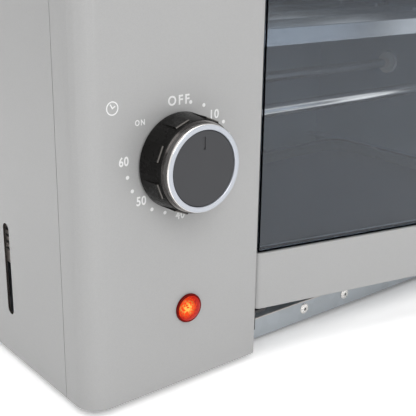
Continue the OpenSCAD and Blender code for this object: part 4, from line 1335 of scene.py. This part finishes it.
@dataclass
class Dial:
    """The white print round the knob: dots, numbers, OFF, ON and a plain clock sign."""

    panel: Panel
    middle: Pair = (1.3 * MM, 0.65 * MM)
    half_width: float = 29.0 * MM
    half_height: float = 25.1 * MM
    first: float = -5.0
    step: float = 15.6
    steps: int = 18
    every_number: int = 3
    dot_radius: float = 0.88 * MM
    dot_sides: int = 20
    ring_steps: int = 40
    letter_space: float = 1.35
    number_space: float = 1.1
    depth: float = 0.03 * MM
    words: tuple[Word, ...] = (
        Word("OFF", 0.1 * MM, 27.0 * MM, 11.7 * MM, 4.4 * MM), Word("10", 20.5 * MM, 18.4 * MM, 4.8 * MM),
        Word("20", 29.4 * MM, 1.0 * MM, 5.0 * MM), Word("30", 20.6 * MM, -17.2 * MM, 5.0 * MM),
        Word("40", 1.0 * MM, -25.8 * MM, 5.2 * MM), Word("50", -20.3 * MM, -15.3 * MM, 5.1 * MM),
        Word("60", -29.0 * MM, 3.7 * MM, 4.9 * MM), Word("ON", -20.5 * MM, 19.5 * MM, 5.0 * MM, 2.6 * MM))
    clock_at: Pair = (-34.1 * MM, 27.1 * MM)
    clock_radius: float = 3.0 * MM
    short_hand: float = 0.55
    long_hand: float = 0.68
    clock_turn: float = 30.0
    stroke: float = 0.55 * MM
    weight: float = 0.026

    def build(self) -> None:
        """Print the dial."""
        self.dots()
        self.numbers()
        self.clock()

    def dots(self) -> None:
        """Print a dot at each step that has no number."""
        g = GeometryGraph("Dial Dots")
        index = g.add("GeometryNodeInputIndex")
        angle = g.math("ADD", g.input("First Angle", math.radians(self.first)),
                       g.math("MULTIPLY", index, g.input("Step Angle", math.radians(self.step))))
        wide, high = g.input("Half Width", self.half_width), g.input("Half Height", self.half_height)
        spot = g.add("ShaderNodeCombineXYZ", X=g.math("MULTIPLY", wide, g.math("SINE", angle)),
                     Y=g.math("MULTIPLY", high, g.math("COSINE", angle)))
        points = g.add("GeometryNodePoints", Count=g.input("Steps", self.steps), Position=spot)
        between = g.math("MODULO", index, float(self.every_number))
        dot = g.add("GeometryNodeMeshCylinder", Vertices=self.dot_sides,
                    Radius=g.input("Dot Radius", self.dot_radius), Depth=g.input("Print Depth", self.depth))
        dots = g.add("GeometryNodeInstanceOnPoints", Points=points, Selection=between, Instance=dot)
        right, up = self.middle
        piece = g.finish(dots, PRINT, "dial_dots", facing_front(self.panel.at(right, up, self.depth / 2)))
        fasten(piece, Body.CABINET, Slot.PRINT)

    def numbers(self) -> None:
        """Print the numbers and the two plain words as one piece."""
        work = bmesh.new()
        for word in self.words:
            curve = bpy.data.curves.new(word.text, "FONT")
            curve.body = word.text
            curve.extrude = 0.5
            curve.offset = self.weight
            curve.space_character = self.letter_space if word.text.isalpha() else self.number_space
            written = linked(word.text, curve)
            depsgraph = bpy.context.evaluated_depsgraph_get()
            mesh = bpy.data.meshes.new_from_object(written.evaluated_get(depsgraph))
            low = [min(v.co[i] for v in mesh.vertices) for i in range(3)]
            high = [max(v.co[i] for v in mesh.vertices) for i in range(3)]
            size = (word.width, word.height, self.depth)
            scale = [size[i] / (high[i] - low[i]) for i in range(3)]
            middle = Matrix.Translation([-(low[i] + high[i]) / 2 for i in range(3)])
            place = Matrix.Translation((word.right, word.up, 0.0))
            mesh.transform(place @ Matrix.Diagonal((*scale, 1.0)) @ middle)
            work.from_mesh(mesh)
            bpy.data.objects.remove(written)
            bpy.data.curves.remove(curve)
            bpy.data.meshes.remove(mesh)
        place = facing_front(self.panel.at(0, 0, self.depth / 2))
        made = closed(work, bpy.data.meshes.new("dial_numbers"), place)
        fasten(mesh_object("dial_numbers", made, [PRINT]), Body.CABINET, Slot.PRINT)

    def clock(self) -> None:
        """Print a ring with two hands."""
        at = facing_front(self.panel.at(*self.clock_at))
        r, s, d = self.clock_radius, self.stroke, self.depth
        short, long = r * self.short_hand, r * self.long_hand
        ring = lathe("clock_ring", [(r - s, 0.0), (r, 0.0), (r, d), (r - s, d)], self.ring_steps, PRINT, at)
        fasten(ring, Body.CABINET, Slot.PRINT)
        hands = [(-s / 2, -s / 2), (short, -s / 2), (short, s / 2), (s / 2, s / 2), (s / 2, long),
                 (-s / 2, long)]
        turned = at @ Matrix.Rotation(math.radians(self.clock_turn), 4, "Z")
        fasten(prism("clock_hands", hands, 0.0, d, PRINT, turned), Body.CABINET, Slot.PRINT)


@dataclass
class Studio:
    """Camera, lamps, floor and surroundings."""

    sensor: float = 36.0
    focal: float = 818.8 / 416 * sensor
    bearing: float = 39.21
    dip: float = 18.25
    roll: float = 0.83
    offset: Triple = (-0.21284, -0.28214, 0.09410)
    sky: float = 0.45
    aim_at: Triple = (0.0, 0.0, 0.1)
    lamps: tuple[tuple[str, Triple, Pair, float], ...] = (
        ("key box", (-0.75, -1.6, 1.3), (1.2, 1.2), 15.5),
        ("top box", (0.2, 0.1, 2.0), (1.6, 1.6), 17.0),
        ("rear box", (1.4, 1.3, 1.3), (1.3, 1.3), 9.0))
    floor_half: float = 3.0
    floor_tone: float = 0.92
    floor_lift: float = 0.48
    speckle: float = 0.02
    speckle_scale: float = 40.0
    shade_from: float = -24 * MM
    shade_to: float = 9 * MM

    def camera(self, panel: Panel) -> None:
        """Set the camera where the photograph was taken from.

        Args:
            panel: gives the point from which the camera's place is measured.
        """
        az, p, r = (math.radians(a) for a in (self.bearing, self.dip, self.roll))
        ahead = Vector((math.sin(az) * math.cos(p), math.cos(az) * math.cos(p), -math.sin(p)))
        right = Vector((math.cos(az), -math.sin(az), 0.0))
        up = right.cross(ahead)
        right_r = right * math.cos(r) + up * math.sin(r)
        up_r = -right * math.sin(r) + up * math.cos(r)
        turn = Matrix((right_r, up_r, -ahead)).transposed().to_4x4()
        data = bpy.data.cameras.new("camera")
        data.lens = self.focal
        data.sensor_width = self.sensor
        data.sensor_fit = "HORIZONTAL"
        data.clip_start = 0.02
        eye = linked("camera", data)
        eye.matrix_world = Matrix.Translation(panel.at(0, 0) + Vector(self.offset)) @ turn
        bpy.context.scene.camera = eye

    def lamp(self, name: str, at: Vector, size: Pair, power: float) -> None:
        """Hang one soft box that points at the grill.

        Args:
            name: its name.
            at: where it hangs.
            size: width and height.
            power: watts.
        """
        data = bpy.data.lights.new(name, "AREA")
        data.shape = "RECTANGLE"
        data.size, data.size_y = size
        data.energy = power
        box = linked(name, data)
        aim = Vector(self.aim_at) - at
        box.matrix_world = Matrix.Translation(at) @ aim.to_track_quat("-Z", "Y").to_matrix().to_4x4()

    def surroundings(self) -> None:
        """Make the world: white where the camera sees it, plain pale light elsewhere."""
        world = bpy.data.worlds.new("studio")
        bpy.context.scene.world = world
        g = opened(world)
        plain = g.add("ShaderNodeBackground", Color=WHITE, Strength=self.sky)
        white = g.add("ShaderNodeBackground", Color=WHITE, Strength=1.0)
        both = g.add("ShaderNodeMixShader", i0=self.seen(g), i1=plain.outputs[0], i2=white.outputs[0])
        g.add("ShaderNodeOutputWorld", Surface=both.outputs[0])

    def seen(self, g: ShaderGraph) -> Socket:
        """Find the rays by which the camera sees the surroundings, also in metal and glass.

        Args:
            g: the graph of the world or of the floor.

        Returns:
            1 on those rays and 0 on others.
        """
        path = g.add("ShaderNodeLightPath")
        shine = g.math("MAXIMUM", path.outputs["Is Glossy Ray"], path.outputs["Is Transmission Ray"])
        return g.math("MAXIMUM", path.outputs["Is Camera Ray"], shine)

    def white_past_painted_shadow(self, g: ShaderGraph, vector: Socket) -> Socket:
        """Say how white the bare floor shows; it falls off close to and under the grill in a painted
        shadow.

        Args:
            g: the floor material's graph.
            vector: the place on the floor.

        Returns:
            The strength of the floor's own white.
        """
        low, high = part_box("cabinet_wrap")
        front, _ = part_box("front_frame")
        parts = g.add("ShaderNodeSeparateXYZ", Vector=vector)
        beyond = []
        for axis, a, b in (("X", low.x, high.x), ("Y", front.y, high.y)):
            from_middle = g.math("ABSOLUTE", g.math("SUBTRACT", parts.outputs[axis], (a + b) / 2))
            beyond.append(g.math("SUBTRACT", from_middle, (b - a) / 2))
        apart = g.math("MAXIMUM", *beyond)
        fall = g.add("ShaderNodeMapRange", p_interpolation_type="SMOOTHSTEP", Value=apart,
                     From_Min=self.shade_from, From_Max=self.shade_to, To_Min=0.0, To_Max=self.floor_lift)
        return fall.outputs[0]

    def floor(self) -> None:
        """Lay the pale floor, which keeps the grill's shadow and has a painted shadow round the grill."""
        mesh = bpy.data.meshes.new("floor")
        half = self.floor_half
        corners = [(-half, -half, 0), (half, -half, 0), (half, half, 0), (-half, half, 0)]
        mesh.from_pydata(corners, [], [(0, 1, 2, 3)])
        made = bpy.data.materials.new("pale floor")
        g = opened(made)
        vector = g.add("ShaderNodeTexCoord").outputs["Object"]
        speckle = g.math("MULTIPLY", g.noise(vector, self.speckle_scale, 3.0), self.speckle)
        tone = g.math("ADD", self.floor_tone, speckle)
        colour = g.add("ShaderNodeCombineColor", Red=tone, Green=tone, Blue=tone)
        # Painted shadow: the floor's own white falls off near and under the grill.
        lift = g.math("MULTIPLY", self.seen(g), self.white_past_painted_shadow(g, vector))
        bsdf = g.add("ShaderNodeBsdfPrincipled", Roughness=0.7, Specular_IOR_Level=0.1,
                     Base_Color=colour.outputs[0], Emission_Color=WHITE, Emission_Strength=lift)
        g.add("ShaderNodeOutputMaterial", Surface=bsdf.outputs[0])
        piece = mesh_object("floor", mesh, [])
        mesh.materials.append(made)
        piece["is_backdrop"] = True

    def build(self, panel: Panel) -> None:
        """Set up the whole studio.

        Args:
            panel: gives the point from which the camera's place is measured.
        """
        self.camera(panel)
        self.surroundings()
        self.floor()
        for name, at, size, power in self.lamps:
            self.lamp(name, Vector(at), size, power)


def dress_packed() -> None:
    """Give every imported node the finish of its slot."""
    for node, obj in frame["nodes"].items():
        finish = SLOT_FINISH[Slot(SLOT_OF[node])]
        obj.data.materials.clear()
        obj.data.materials.append(finish.material())


def write_sizes() -> None:
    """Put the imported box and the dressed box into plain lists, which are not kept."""
    def plain(box: Iterable[Iterable[float]]) -> list[list[float]]:
        """Return a box as nested lists of numbers."""
        return [[float(v) for v in corner] for corner in box]
    {"cad": plain(CAD_BOX), "visual": plain(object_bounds())}


def main() -> None:
    """Build everything in order."""
    logging.basicConfig(level=logging.INFO, format="%(message)s")
    bpy.context.scene.view_settings.view_transform = "Standard"
    panel = Panel()
    Studio().build(panel)
    dress_packed()
    for part in (Cabinet(), Drive(), Door(), Tray(), Knob(panel), Lamp(panel), Dial(panel)):
        part.build()
        log.info("%s done", type(part).__name__)
    write_sizes()


if __name__ == "__main__":
    main()
